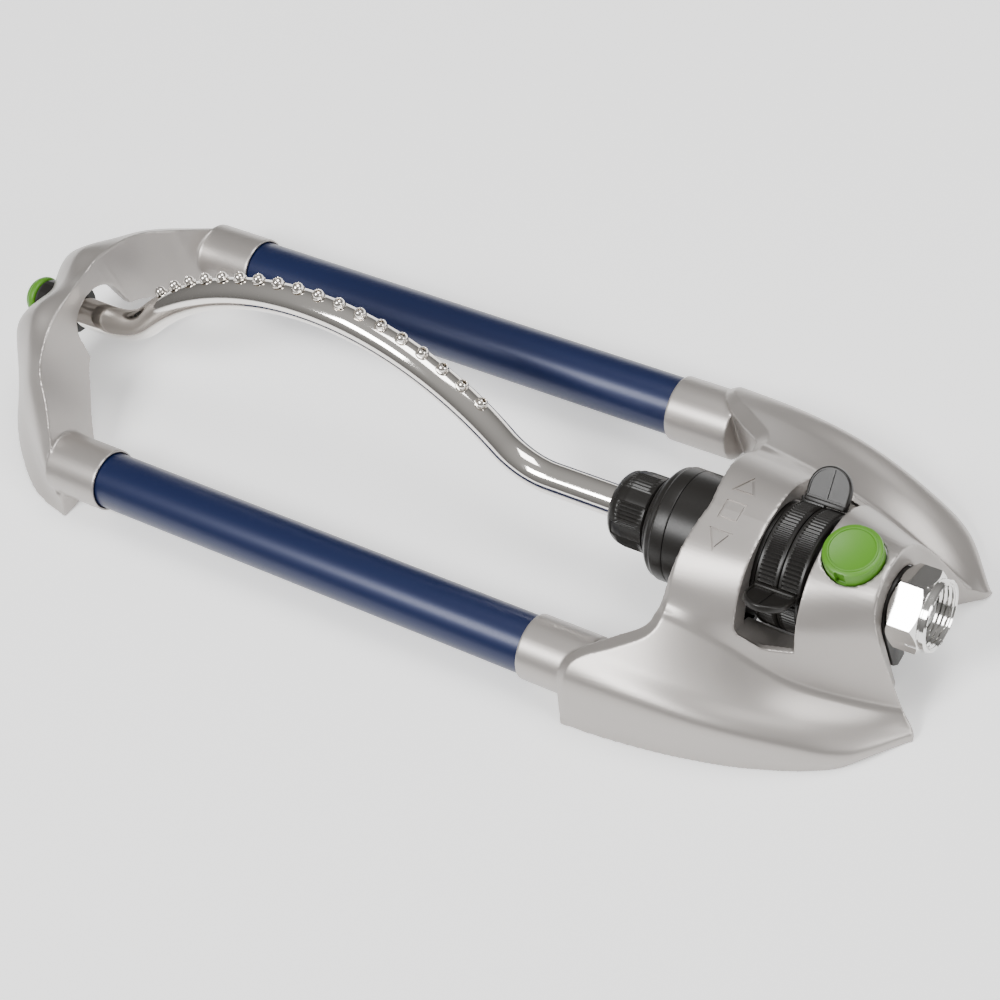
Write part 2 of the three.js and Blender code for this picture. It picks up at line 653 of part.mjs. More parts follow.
function addOutputShaft() {
  const socket = TUBE_R + GAP;
  const shoulder = TUBE_RIGHT_X + GAP;
  const profile = [[socket, SPIGOT_X], [SPIGOT_R, SPIGOT_X], [SPIGOT_R, NUT_X1 - CUT]];
  profile.push([SHAFT_R, NUT_X1 - CUT], [SHAFT_R, SHAFT_END_X], [FLANGE_R, SHAFT_END_X]);
  profile.push([FLANGE_R, SHAFT_END_X + ROCKER_H]);
  profile.push([SHAFT_BORE, SHAFT_END_X + ROCKER_H], [SHAFT_BORE, shoulder], [socket, shoulder]);
  profile.push([socket, SPIGOT_X]);
  const stud = rodX(PIVOT_R, SHAFT_END_X + 1, LINK_X0 + LINK_H, -ROCKER_ARM, 0, 12);
  const shaft = turnedX(profile, 0, 0, 24).add(stud);
  addMesh("output_shaft", shaft, acetal(), spray);
}

// ---- Motor case ---------------------------------------------------------------------------------

const CAP_BORE_R = SHAFT_R + RUN;
const CHAMBER_R = 20.5;
const JOURNAL_BORE_R = 18.4;
const CHAMBER_STEP_X = 197;
const SEAL_X = 150.5;
const JET_R = 4;
const JET_DROP = 11; // from the spray axis down to the water jet's hole
const AXLE_R = 1;
const AXLE_X0 = 168;
const AXLE_REAR_X = CHAMBER_REAR_X + 2.4;

function addMotorCase() {
  const cap = [[CAP_BORE_R, CAP_FRONT_X], [18.5, CAP_FRONT_X], [22, CAP_FRONT_X + 1.6]];
  cap.push([23.6, CAP_FRONT_X + 4.2], [MOTOR_R, CAP_FRONT_X + 7], [MOTOR_R, CASE_FRONT_X - GAP]);
  cap.push([CHAMBER_R, CASE_FRONT_X - GAP], [CHAMBER_R, SEAL_X + 3], [SHAFT_R + 3, SEAL_X + 3]);
  cap.push([SHAFT_R + 3, SEAL_X - GAP], [CAP_BORE_R, SEAL_X - GAP], [CAP_BORE_R, CAP_FRONT_X]);
  addMesh("motor_front_cap", turnedX(cap, 0, AXIS_Z, 32), black());
  const seal = ringX(SHAFT_R + 2.7, CAP_BORE_R, SEAL_X, SEAL_X + 2.4, 0, AXIS_Z, 28);
  addMesh("output_seal", seal, rubber());
  const wallRear = CHAMBER_REAR_X + 4;
  const body = [[CHAMBER_R, CASE_FRONT_X], [MOTOR_R, CASE_FRONT_X], [MOTOR_R, JOURNAL_X], [JOURNAL_R, JOURNAL_X]];
  body.push([JOURNAL_R, CASE_REAR_X], [JOURNAL_BORE_R, CASE_REAR_X], [JOURNAL_BORE_R, wallRear]);
  body.push([0, wallRear], [0, CHAMBER_REAR_X], [JOURNAL_BORE_R, CHAMBER_REAR_X]);
  body.push([JOURNAL_BORE_R, CHAMBER_STEP_X], [CHAMBER_R, CHAMBER_STEP_X], [CHAMBER_R, CASE_FRONT_X]);
  const jet = rodX(JET_R, CHAMBER_REAR_X - CUT, wallRear + CUT, 0, AXIS_Z - JET_DROP, 16);
  const seat = rodX(AXLE_R + GAP, CHAMBER_REAR_X - CUT, AXLE_REAR_X + GAP, 0, AXIS_Z, 12);
  const made = turnedX(body, 0, AXIS_Z, 32).subtract(jet).subtract(seat);
  addMesh("motor_case", made, black());
}

// ---- Turbine, reduction gears, crank and drive link -----------------------------------------------

const MODULE = 0.66;
const PINION_TEETH = 8;
const WHEEL_TEETH = 24;
const CENTRES = (MODULE * (PINION_TEETH + WHEEL_TEETH)) / 2 + 0.24;
const BORE_R = AXLE_R + RUN;
const LAYSHAFT_TURN = THREE.MathUtils.degToRad(30); // direction of the layshaft from the axis
const CRANK_TURN = THREE.MathUtils.degToRad(234.8);
const CRANK_THROW = 4.3;
const CRANK_X = 170;
const PLATE_X = 184.4;
const PLATE_H = 2;
const TURBINE_X = 188;
const TURBINE_R = 14;
const BLADES = 8;

const layshaft = [CENTRES * Math.cos(LAYSHAFT_TURN), CENTRES * Math.sin(LAYSHAFT_TURN)];
const crankAxis = [CENTRES * Math.cos(CRANK_TURN), CENTRES * Math.sin(CRANK_TURN)];

// A toothed disc about (y, z) + X. One tooth, or a gap if onGap, points along facing.
function gear(teeth, x0, x1, [y, z], facing, onGap) {
  const pitch = (2 * Math.PI) / teeth;
  const radius = (MODULE * teeth) / 2;
  const [tip, root] = [radius + 0.82 * MODULE, radius - 1.1 * MODULE];
  const start = facing + (onGap ? pitch / 2 : 0);
  const outline = [];
  for (let tooth = 0; tooth < teeth; tooth++) {
    const middle = start + tooth * pitch;
    for (const [share, at] of [[-0.3, root], [-0.1, tip], [0.1, tip], [0.3, root]]) {
      const angle = middle + share * pitch;
      outline.push([y + at * Math.cos(angle), z + at * Math.sin(angle)]);
    }
  }
  return plateX(outline, x0, x1);
}

// A wheel with a pinion on its own hub, bored to run on a pin.
function compoundGear(wheelX, pinionX, [y, z], wheel, pinion) {
  const centre = [y, z];
  const [w0, w1] = wheelX;
  const [p0, p1] = pinionX;
  const body = gear(WHEEL_TEETH, w0, w1, centre, ...wheel).add(
    gear(PINION_TEETH, p0, p1, centre, ...pinion));
  return body.subtract(rodX(BORE_R, p0 - CUT, w1 + CUT, y, z, 12));
}

function addTurbine() {
  const hubR = 3.2;
  const blades = [];
  for (let i = 0; i < BLADES; i++) {
    const blade = box(TURBINE_X, TURBINE_X + 7, -0.6, 0.6, hubR - 0.6, TURBINE_R);
    blades.push(blade.rotate([(i * 360) / BLADES, 0, 0]));
  }
  const disc = rodX(TURBINE_R, TURBINE_X - 1, TURBINE_X + 0.2, 0, 0, 24);
  let wheel = rodX(hubR, PLATE_X - 0.4, TURBINE_X + 8, 0, 0, 12).add(disc);
  for (const blade of blades) wheel = wheel.add(blade);
  wheel = wheel.add(gear(PINION_TEETH, 179, PLATE_X, [0, 0], LAYSHAFT_TURN, false));
  wheel = wheel.subtract(rodX(BORE_R, 178, TURBINE_X + 9, 0, 0, 12));
  const mesh = addMesh("turbine_wheel", wheel, acetal());
  mesh.position.z = AXIS_Z;
}

function addGears() {
  const pins = new THREE.Group();
  pins.position.z = AXIS_Z;
  part.add(pins);
  addMesh("turbine_axle", rodX(AXLE_R, AXLE_X0, AXLE_REAR_X, 0, 0, 16), steel(), pins);
  const first = compoundGear([179.6, 183], [174, 179.6], layshaft,
    [LAYSHAFT_TURN + Math.PI, true], [LAYSHAFT_TURN + Math.PI, false]);
  addMesh("first_gear", first, acetal(), pins);
  const second = compoundGear([174.6, 178.2], [169.8, 174.6], [0, 0],
    [LAYSHAFT_TURN, true], [CRANK_TURN, false]);
  addMesh("second_gear", second, acetal(), pins);
  const crank = gear(WHEEL_TEETH, CRANK_X, CRANK_X + 3.6, crankAxis, CRANK_TURN + Math.PI, true);
  const pin = rodX(PIVOT_R, CRANK_PIN_X, CRANK_X + 1, ...crankPin, 12);
  const bore = rodX(BORE_R, CRANK_X - CUT, CRANK_X + 5, ...crankAxis, 12);
  addMesh("crank_gear", crank.add(pin).subtract(bore), acetal(), pins);
  addMesh("gear_plate", gearPlate(), black(), pins);
}

// The plate between the turbine and the gears, with the posts that two of the gears run on.
function gearPlate() {
  let plate = rodX(CHAMBER_R - GAP, PLATE_X, PLATE_X + PLATE_H, 0, 0, 28);
  plate = plate.add(rodX(AXLE_R, 173.6, PLATE_X + 1, ...layshaft, 12));
  plate = plate.add(rodX(AXLE_R, CRANK_X - 0.4, PLATE_X + 1, ...crankAxis, 12));
  for (let i = 0; i < 6; i++) {
    const turn = (i * Math.PI) / 3;
    const hole = rodX(2.6, PLATE_X - CUT, PLATE_X + 3, 15.6 * Math.cos(turn), 15.6 * Math.sin(turn), 10);
    plate = plate.subtract(hole);
  }
  return plate.subtract(rodX(3.6, PLATE_X - CUT, PLATE_X + 3, 0, 0, 20));
}

// Where the link's pivot rests, and the crank pin that the link reaches from there.
const pivot = [-ROCKER_ARM * Math.cos(TUBE_TILT), ROCKER_ARM * Math.sin(TUBE_TILT)];
const LINK_LENGTH = 8.8;
const LINK_EYE_R = 2.4;
const CRANK_PIN_X = LINK_X0 + LINK_H + 0.4;
const crankPin = crankPinPlace();

function crankPinPlace() {
  const [y, z] = [pivot[0] - crankAxis[0], pivot[1] - crankAxis[1]];
  const reach = Math.hypot(y, z);
  const cosine = (CRANK_THROW ** 2 + reach ** 2 - LINK_LENGTH ** 2) / (2 * CRANK_THROW * reach);
  const angle = Math.atan2(z, y) + Math.acos(cosine);
  return [crankAxis[0] + CRANK_THROW * Math.cos(angle), crankAxis[1] + CRANK_THROW * Math.sin(angle)];
}

function addDriveLink() {
  const [x0, x1] = [LINK_X0, LINK_X0 + LINK_H];
  const across = [crankPin[1] - pivot[1], pivot[0] - crankPin[0]].map((v) => (v / LINK_LENGTH) * 1.5);
  const corners = [[pivot, 1], [crankPin, 1], [crankPin, -1], [pivot, -1]];
  const bar = plateX(corners.map(([[y, z], side]) => [y + side * across[0], z + side * across[1]]), x0, x1);
  const eyes = [pivot, crankPin].map((place) => rodX(LINK_EYE_R, x0, x1, ...place, 20));
  let link = bar.add(eyes[0]).add(eyes[1]);
  for (const place of [pivot, crankPin]) {
    link = link.subtract(rodX(PIVOT_R + RUN, x0 - CUT, x1 + CUT, ...place, 16));
  }
  addMesh("drive_link", link, acetal()).position.z = AXIS_Z;
}

// ---- Adjuster rings -------------------------------------------------------------------------------

const RING_R = 25.4;
const RINGS = [["far", 1, 200, 209.8], ["near", -1, 210.2, 220]];
const RING_TAB_TURN = THREE.MathUtils.degToRad(55); // from upright to each thumb tab
const TAB_TIP_R = 42;
const TAB_HALF_WIDTH = 9.3;
const TAB_H = 3;

// A half-round thumb tab in the plane of the axis, overhanging both rings.
function thumbTab(x0, x1, turn) {
  const middle = (RINGS[0][2] + RINGS[1][3]) / 2;
  const shape = new THREE.Shape();
  shape.moveTo(-TAB_HALF_WIDTH, RING_R + 0.5);
  shape.lineTo(TAB_HALF_WIDTH, RING_R + 0.5);
  shape.lineTo(TAB_HALF_WIDTH, TAB_TIP_R - TAB_HALF_WIDTH);
  shape.absarc(0, TAB_TIP_R - TAB_HALF_WIDTH, TAB_HALF_WIDTH, 0, Math.PI);
  const options = { depth: TAB_H, bevelEnabled: false, curveSegments: 10 };
  const blade = new THREE.ExtrudeGeometry(shape, options);
  blade.rotateX(Math.PI / 2);
  blade.translate(middle, TAB_H / 2, 0);
  const foot = box(x0, x1, -TAB_H / 2, TAB_H / 2, RING_R - 1.5, RING_R + 2);
  return solid(blade).add(foot).rotate([THREE.MathUtils.radToDeg(-turn), 0, 0]);
}

function addAdjusterRings() {
  for (const [side, sign, x0, x1] of RINGS) {
    const ring = ringX(RING_R, JOURNAL_R + RUN, x0, x1, 0, 0, 40);
    const whole = ring.add(thumbTab(x0, x1, sign * RING_TAB_TURN));
    addMesh(`adjuster_ring_${side}`, whole, black()).position.z = AXIS_Z;
  }
}

// ---- Inlet: valve body, flow valve and knob -------------------------------------------------------

const VALVE_X0 = 217; // its spigot stands inside the motor case
const VALVE_X1 = 244;
const VALVE_R = 15.5;
const VALVE_BORE_R = 7.5;
const NECK_R = 9;
const NECK_X0 = 239.5;
const STEM_R = 3;
const KNOB_Z0 = 41;
const KNOB_TOP_Z = 52.7;
const BOSS_TOP_Z = 40.4;
const STEM_SEAL_Z = 36;

function addValve() {
  const spigotR = JOURNAL_BORE_R - GAP;
  const profile = [[VALVE_BORE_R, VALVE_X0], [spigotR, VALVE_X0], [spigotR, CASE_REAR_X]];
  profile.push([spigotR - 0.8, CASE_REAR_X + 0.8], [VALVE_R, CASE_REAR_X + 3], [VALVE_R, VALVE_X1]);
  profile.push([NECK_R + GAP, VALVE_X1], [NECK_R + GAP, NECK_X0 - GAP]);
  profile.push([VALVE_BORE_R, NECK_X0 - GAP], [VALVE_BORE_R, VALVE_X0]);
  const boss = rodZ(6.2, AXIS_Z + VALVE_BORE_R + 2, BOSS_TOP_Z, KNOB_X, 0, 24);
  const hole = rodZ(STEM_R + RUN, AXIS_Z, BOSS_TOP_Z + CUT, KNOB_X, 0, 16);
  const pocket = rodZ(4.9, STEM_SEAL_Z - GAP, BOSS_TOP_Z + CUT, KNOB_X, 0, 20);
  const body = turnedX(profile, 0, AXIS_Z, 32).add(boss).subtract(hole).subtract(pocket);
  addMesh("valve_body", body, black());
  const seal = turnedZ([[STEM_R + RUN, STEM_SEAL_Z], [4.6, STEM_SEAL_Z], [4.6, STEM_SEAL_Z + 2.2],
    [STEM_R + RUN, STEM_SEAL_Z + 2.2], [STEM_R + RUN, STEM_SEAL_Z]], KNOB_X, 0, 20);
  addMesh("stem_seal", seal, rubber());
  const disc = turnedX([[0, -0.9], [VALVE_BORE_R - 0.6, -0.9], [VALVE_BORE_R - 0.6, 0.9], [0, 0.9]], 0, 0, 24);
  const gate = disc.rotate([0, 0, 90]).translate([KNOB_X, 0, AXIS_Z]);
  const stem = rodZ(STEM_R, AXIS_Z + 4, KNOB_Z0 + 5, KNOB_X, 0, 16);
  addMesh("flow_valve", gate.add(stem), black());
}

function addKnob() {
  const socket = STEM_R + GAP;
  const profile = [[socket, KNOB_Z0], [KNOB_R, KNOB_Z0], [KNOB_R, KNOB_TOP_Z - 2.4]];
  profile.push([KNOB_R - 2.4, KNOB_TOP_Z - 0.5], [KNOB_R - 3, KNOB_TOP_Z], [0, KNOB_TOP_Z]);
  profile.push([0, KNOB_Z0 + 5 + GAP], [socket, KNOB_Z0 + 5 + GAP], [socket, KNOB_Z0]);
  let knob = turnedZ(profile, KNOB_X, 0, 32);
  for (const sign of [-1, 1]) {
    const notch = box(KNOB_X - 2, KNOB_X + 2, KNOB_R - 1.4, KNOB_R + CUT, KNOB_TOP_Z - 6, KNOB_TOP_Z);
    knob = knob.subtract(notch.scale([1, sign, 1]));
  }
  addMesh("flow_knob", knob, green());
}

// ---- Inlet: yoke, tailpiece, washer, strainer and swivel nut --------------------------------------

const YOKE_X0 = VALVE_X1 + GAP;
const YOKE_X1 = 251;
const YOKE_R = INLET_OPENING_R - 0.4;
const YOKE_LEG_Z = -6;
const NUT_FLATS = 29.5; // across the swivel nut's flats
const SWIVEL_X0 = YOKE_X1 + GAP;
const SWIVEL_WALL = 1.4;
const SWIVEL_X1 = 268;
const LIP_R = 14.9;
const THREAD_R = 13;
const COLLAR_FLANGE_X = SWIVEL_X0 + SWIVEL_WALL + GAP;

function addYoke() {
  const arc = stations(0, Math.PI, 20).map((turn) => [YOKE_R * Math.cos(turn), AXIS_Z + YOKE_R * Math.sin(turn)]);
  const outline = [...arc, [-YOKE_R, YOKE_LEG_Z + 4], [-YOKE_R + 3, YOKE_LEG_Z]];
  outline.push([YOKE_R - 3, YOKE_LEG_Z], [YOKE_R, YOKE_LEG_Z + 4]);
  const hole = rodX(NECK_R + GAP, YOKE_X0 - CUT, YOKE_X1 + CUT, 0, AXIS_Z, 32);
  const slot = box(YOKE_X0 - CUT, YOKE_X1 + CUT, -6, 6, YOKE_LEG_Z - CUT, AXIS_Z - NECK_R - 4);
  addMesh("inlet_yoke", plateX(outline, YOKE_X0, YOKE_X1).subtract(hole).subtract(slot), black());
}

function addInletFittings() {
  const bore = 6.2;
  const flangeR = THREAD_R - 0.4;
  const flangeX1 = COLLAR_FLANGE_X + 2;
  const tail = [[bore, NECK_X0], [NECK_R, NECK_X0], [NECK_R, COLLAR_FLANGE_X], [flangeR, COLLAR_FLANGE_X]];
  tail.push([flangeR, flangeX1], [bore, flangeX1], [bore, NECK_X0]);
  addMesh("inlet_tailpiece", turnedX(tail, 0, AXIS_Z, 24), chrome());
  const washerX = flangeX1 + GAP;
  addMesh("hose_washer", ringX(flangeR, 9.6, washerX, washerX + 2.4, 0, AXIS_Z, 20), rubber());
  const rimX = washerX + 2.4 + GAP;
  const dome = [[flangeR, rimX], [flangeR, rimX + 0.8], [9.2, rimX + 0.8]];
  const skin = 0.7;
  for (const turn of stations(0, Math.PI / 2, 4)) {
    dome.push([9.2 * Math.cos(turn), rimX + 0.8 + 5.2 * Math.sin(turn)]);
  }
  for (const turn of stations(Math.PI / 2, 0, 4)) {
    dome.push([(9.2 - skin) * Math.cos(turn), rimX + 0.8 + (5.2 - skin) * Math.sin(turn)]);
  }
  dome.push([9.2 - skin, rimX], [flangeR, rimX]);
  addMesh("filter_screen", turnedX(dome, 0, AXIS_Z, 20), steel());
}

function addSwivelNut() {
  const corner = NUT_FLATS / Math.sqrt(3);
  const hex = stations(0, 5, 5).map((side) => {
    const turn = ((side + 0.5) * Math.PI) / 3;
    return [corner * Math.cos(turn), AXIS_Z + corner * Math.sin(turn)];
  });
  const lipX = SWIVEL_X1 - 3.6;
  const chamfer = turnedX([[0, SWIVEL_X0], [LIP_R, SWIVEL_X0], [corner + 0.2, SWIVEL_X0 + 1.8],
    [corner + 0.2, lipX - 1.8], [LIP_R, lipX + 0.2], [0, lipX + 0.2]], 0, AXIS_Z, 30);
  let nut = plateX(hex, SWIVEL_X0, lipX).intersect(chamfer);
  nut = nut.add(rodX(LIP_R, lipX - CUT, SWIVEL_X1, 0, AXIS_Z, 30));
  nut = nut.subtract(rodX(THREAD_R, SWIVEL_X0 + SWIVEL_WALL, SWIVEL_X1 + CUT, 0, AXIS_Z, 28));
  nut = nut.subtract(rodX(NECK_R + RUN, SWIVEL_X0 - CUT, SWIVEL_X1, 0, AXIS_Z, 24));
  addMesh("hose_swivel_nut", nut, chrome());
}

// ---- Far end of the tube: bushing, seal and cleaning plug -----------------------------------------

const PLUG_R = 9.6;

function addEndPieces() {
  const bore = TUBE_R + RUN;
  const flange = [[bore, BEARING_X0], [BUSHING_R, BEARING_X0], [BUSHING_R, BEARING_X1 + GAP]];
  flange.push([BUSHING_R + 2, BEARING_X1 + GAP], [BUSHING_R + 2, BEARING_X1 + 2], [bore, BEARING_X1 + 2]);
  flange.push([bore, BEARING_X0]);
  addMesh("end_bushing", turnedX(flange, 0, AXIS_Z, 24), black());
  const sealX = TUBE_LEFT_X - GAP - 0.8;
  addMesh("plug_seal", ringX(PLUG_R - 1, TUBE_R - TUBE_WALL, sealX, sealX + 0.8, 0, 0, 24), rubber(), spray);
  const face = sealX - GAP;
  const shank = TUBE_R - TUBE_WALL - GAP;
  const plug = [[0, TUBE_LEFT_X + 14], [shank, TUBE_LEFT_X + 14], [shank, face], [PLUG_R, face]];
  plug.push([PLUG_R, face - 2.6], [PLUG_R * 0.86, face - 5.4], [PLUG_R * 0.5, face - 7], [0, face - 7.4]);
  addMesh("end_plug", turnedX(plug.reverse(), 0, 0, 20), green(), spray);
}

addRails();
addMesh("end_arch", endArch(), silver());
addMesh("housing_shell", housingShell(), silver());
addGrubScrews();
addCradle();
addSprayTube();
addTubeNut();
addOutputShaft();
addMotorCase();
addTurbine();
addGears();
addDriveLink();
addAdjusterRings();
addValve();
addKnob();
addYoke();
addInletFittings();
addSwivelNut();
addEndPieces();

// ---- The whole, on the ground ---------------------------------------------------------------------

part.position.set(-BBOX_MID_X, 0, -GROUND_Z);
const sprinkler = new THREE.Group();
sprinkler.add(part);

export default sprinkler;
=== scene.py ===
"""Oscillating garden sprinkler: the looks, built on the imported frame.

Shapes are drawn in millimetres in a working frame: X runs along the rails from the middle of their
visible length towards the hose inlet, Z is up from the rails' axes. place() moves them to the row frame.
"""
import json
import math

import bmesh
import bpy
from mathutils import Matrix, Vector


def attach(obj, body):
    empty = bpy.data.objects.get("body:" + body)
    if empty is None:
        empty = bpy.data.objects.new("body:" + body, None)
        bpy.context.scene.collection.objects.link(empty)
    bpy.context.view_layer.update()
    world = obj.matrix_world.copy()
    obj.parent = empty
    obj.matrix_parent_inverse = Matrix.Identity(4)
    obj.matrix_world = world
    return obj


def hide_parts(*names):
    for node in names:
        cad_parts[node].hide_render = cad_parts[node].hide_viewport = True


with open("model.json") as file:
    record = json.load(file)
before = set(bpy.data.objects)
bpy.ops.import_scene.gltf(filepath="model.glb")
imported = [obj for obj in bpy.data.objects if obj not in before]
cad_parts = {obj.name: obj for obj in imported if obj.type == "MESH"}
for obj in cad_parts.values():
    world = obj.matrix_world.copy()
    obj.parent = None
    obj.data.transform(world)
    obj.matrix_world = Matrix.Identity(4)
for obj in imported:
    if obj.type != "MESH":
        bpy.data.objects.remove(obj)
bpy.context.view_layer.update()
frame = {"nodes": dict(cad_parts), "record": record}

MM = 0.001
MID_X = 36.0
GROUND_Z = -15.0
AXIS_Z = 23.0
TILT = math.radians(20)
CAMERA_AT = (0.54940, -0.42156, 0.89978)
CAMERA_RIGHT = (0.82786, 0.49929, -0.25564)
CAMERA_DOWN = (0.30281, -0.78143, -0.54559)
CAMERA_FORWARD = (-0.47218, 0.37426, -0.79811)
CAMERA_LENS = 94.2

scene = bpy.context.scene


# ---- Camera ------------------------------------------------------------------------------------

def make_camera():
    data = bpy.data.cameras.new("camera")
    data.lens = CAMERA_LENS
    data.sensor_width = 36
    camera = bpy.data.objects.new("camera", data)
    columns = (Vector(CAMERA_RIGHT), -Vector(CAMERA_DOWN), -Vector(CAMERA_FORWARD))
    turn = Matrix(columns).transposed().to_4x4()
    camera.matrix_world = Matrix.Translation(CAMERA_AT) @ turn
    scene.collection.objects.link(camera)
    scene.camera = camera


# ---- Materials ---------------------------------------------------------------------------------

def finish(name, color, metallic, roughness, grain=900, bump=0.02, spread=0.04, **extra):
    """A painted, moulded or plated surface: fine grain in bump and roughness, faint colour change."""
    made = bpy.data.materials.new(name)
    made.use_nodes = True
    nodes, links = made.node_tree.nodes, made.node_tree.links
    shader = nodes["Principled BSDF"]
    shader.inputs["Metallic"].default_value = metallic
    for socket, value in extra.items():
        shader.inputs[socket.replace("_", " ")].default_value = value
    place_in = nodes.new("ShaderNodeTexCoord")
    fine = nodes.new("ShaderNodeTexNoise")
    fine.inputs["Scale"].default_value = grain
    fine.inputs["Detail"].default_value = 3
    broad = nodes.new("ShaderNodeTexNoise")
    broad.inputs["Scale"].default_value = 35
    broad.inputs["Detail"].default_value = 4
    for texture in (fine, broad):
        links.new(place_in.outputs["Object"], texture.inputs["Vector"])
    tone = nodes.new("ShaderNodeMapRange")
    tone.inputs["To Min"].default_value = 1 - spread
    tone.inputs["To Max"].default_value = 1 + spread
    links.new(broad.outputs["Fac"], tone.inputs["Value"])
    shade = nodes.new("ShaderNodeVectorMath")
    shade.operation = "SCALE"
    shade.inputs[0].default_value = color
    links.new(tone.outputs["Result"], shade.inputs["Scale"])
    links.new(shade.outputs["Vector"], shader.inputs["Base Color"])
    rough = nodes.new("ShaderNodeMapRange")
    rough.inputs["To Min"].default_value = roughness * 0.82
    rough.inputs["To Max"].default_value = roughness * 1.2
    links.new(fine.outputs["Fac"], rough.inputs["Value"])
    links.new(rough.outputs["Result"], shader.inputs["Roughness"])
    relief = nodes.new("ShaderNodeBump")
    relief.inputs["Strength"].default_value = bump
    relief.inputs["Distance"].default_value = 0.0004
    links.new(fine.outputs["Fac"], relief.inputs["Height"])
    links.new(relief.outputs["Normal"], shader.inputs["Normal"])
    made.diffuse_color = (*color, 1)
    return made


FINISHES = {
    "silver_paint": finish("silver_paint", (0.40, 0.375, 0.355), 0.75, 0.38, 2600, 0.05, 0.03,
                           Coat_Weight=0.2, Coat_Roughness=0.25),
    "navy_anodised": finish("navy_anodised", (0.0012, 0.0080, 0.052), 0.25, 0.38, 1800, 0.03, 0.06,
                            Coat_Weight=0.1, Coat_Roughness=0.25),
    "polished_tube": finish("polished_tube", (0.83, 0.80, 0.76), 1, 0.09, 700, 0.01, 0.02),
    "jet_metal": finish("jet_metal", (0.80, 0.76, 0.71), 1, 0.14, 2500, 0.02, 0.03),
    "black_plastic": finish("black_plastic", (0.011, 0.010, 0.009), 0, 0.34, 1500, 0.02, 0.08,
                            Specular_IOR_Level=0.32),
    "green_plastic": finish("green_plastic", (0.070, 0.225, 0.008), 0, 0.42, 1500, 0.03, 0.05),
    "chrome": finish("chrome", (0.78, 0.77, 0.75), 1, 0.10, 500, 0.01, 0.02),
    "rubber": finish("rubber", (0.015, 0.015, 0.015), 0, 0.7, 1200, 0.12, 0.10),
    "white_acetal": finish("white_acetal", (0.74, 0.71, 0.64), 0, 0.42, 1200, 0.04, 0.04),
    "steel": finish("steel", (0.42, 0.42, 0.41), 1, 0.32, 1600, 0.05, 0.05),
}


def paint_frame():
    """Every CAD node takes the finish of its material slot."""
    slots = {row["node"]: row["material_slot"] for row in frame["record"]["subparts"]}
    for name, node in frame["nodes"].items():
        node.data.materials.clear()
        node.data.materials.append(FINISHES[slots[name]])


# ---- Meshes ------------------------------------------------------------------------------------

def mesh_object(points, faces):
    data = bpy.data.meshes.new("shape")
    data.from_pydata([tuple(point) for point in points], [], faces)
    data.validate()
    made = bpy.data.objects.new("shape", data)
    scene.collection.objects.link(made)
    return made


def facing_out(made):
    work = bmesh.new()
    work.from_mesh(made.data)
    bmesh.ops.recalc_face_normals(work, faces=work.faces)
    if work.calc_volume(signed=True) < 0:
        bmesh.ops.reverse_faces(work, faces=work.faces)
    work.to_mesh(made.data)
    work.free()
    return made


def loft(rings):
    """A closed solid skinned over closed rings, with a fan over the first and the last."""
    count = len(rings[0])
    points = [point for ring in rings for point in ring]
    faces = []
    for ring in range(len(rings) - 1):
        for i in range(count):
            a = ring * count + i
            b = ring * count + (i + 1) % count
            faces.append((a, b, b + count, a + count))
    for ring in (0, len(rings) - 1):
        points.append([sum(axis) / count for axis in zip(*rings[ring])])
        for i in range(count):
            faces.append((ring * count + i, ring * count + (i + 1) % count, len(points) - 1))
    return facing_out(mesh_object(points, faces))


def torus_of(rings):
    """A closed solid skinned over rings that come back to the first."""
    count, total = len(rings[0]), len(rings)
    points = [point for ring in rings for point in ring]
    faces = []
    for ring in range(total):
        for i in range(count):
            j = (i + 1) % count
            after = ((ring + 1) % total) * count
            faces.append((ring * count + i, ring * count + j, after + j, after + i))
    return facing_out(mesh_object(points, faces))


def rounded(profile, radius, count=4, closed=True):
    """A profile with its corners rounded as far as its edges allow."""
    total = len(profile)
    out = []
    for i, corner in enumerate(profile):
        if not closed and i in (0, total - 1):
            out.append(tuple(corner))
            continue
        here = Vector(corner)
        before, after = Vector(profile[i - 1]) - here, Vector(profile[(i + 1) % total]) - here
        reach = min(radius, before.length * 0.45, after.length * 0.45)
        start, end = here + before.normalized() * reach, here + after.normalized() * reach
        for step in range(count + 1):
            t = step / count
            out.append(tuple(start * (1 - t) ** 2 + here * 2 * t * (1 - t) + end * t * t))
    return out


def lathe(profile, segments=96, radius_at=None):
    """A turned solid about X of [radius, x] pairs. radius_at(r, x, turn) may shape it round the axis."""
    points, faces, rows = [], [], []
    for r, x in profile:
        if r < 1e-6:
            rows.append([len(points)] * segments)
            points.append((x, 0, 0))
            continue
        row = []
        for i in range(segments):
            turn = 2 * math.pi * i / segments
            reach = radius_at(r, x, turn) if radius_at else r
            row.append(len(points))
            points.append((x, reach * math.cos(turn), reach * math.sin(turn)))
        rows.append(row)
    closed = profile[0][0] > 1e-6
    pairs = list(zip(rows, rows[1:] + ([rows[0]] if closed else [])))
    for one, two in pairs[: len(rows) if closed else len(rows) - 1]:
        for i in range(segments):
            j = (i + 1) % segments
            corners = list(dict.fromkeys((one[i], one[j], two[j], two[i])))
            if len(corners) > 2:
                faces.append(corners)
    return facing_out(mesh_object(points, faces))


def shifted(made, matrix):
    made.data.transform(matrix)
    return made


def on_axis(made):
    return shifted(made, Matrix.Translation((0, 0, AXIS_Z)))


def upright(made, x, y=0):
    """A solid turned about X, stood up about the vertical through (x, y): its x becomes z."""
    stand = Matrix(((0, 0, -1, x), (0, 1, 0, y), (1, 0, 0, 0), (0, 0, 0, 1)))
    return facing_out(shifted(made, stand))


def tilted(made):
    return shifted(made, Matrix.Translation((0, 0, AXIS_Z)) @ Matrix.Rotation(-TILT, 4, "X"))


def prism(outline, z0, z1):
    """A block of an outline in plan between two heights."""
    return loft([[(x, y, z) for x, y in outline] for z in (z0, z1)])


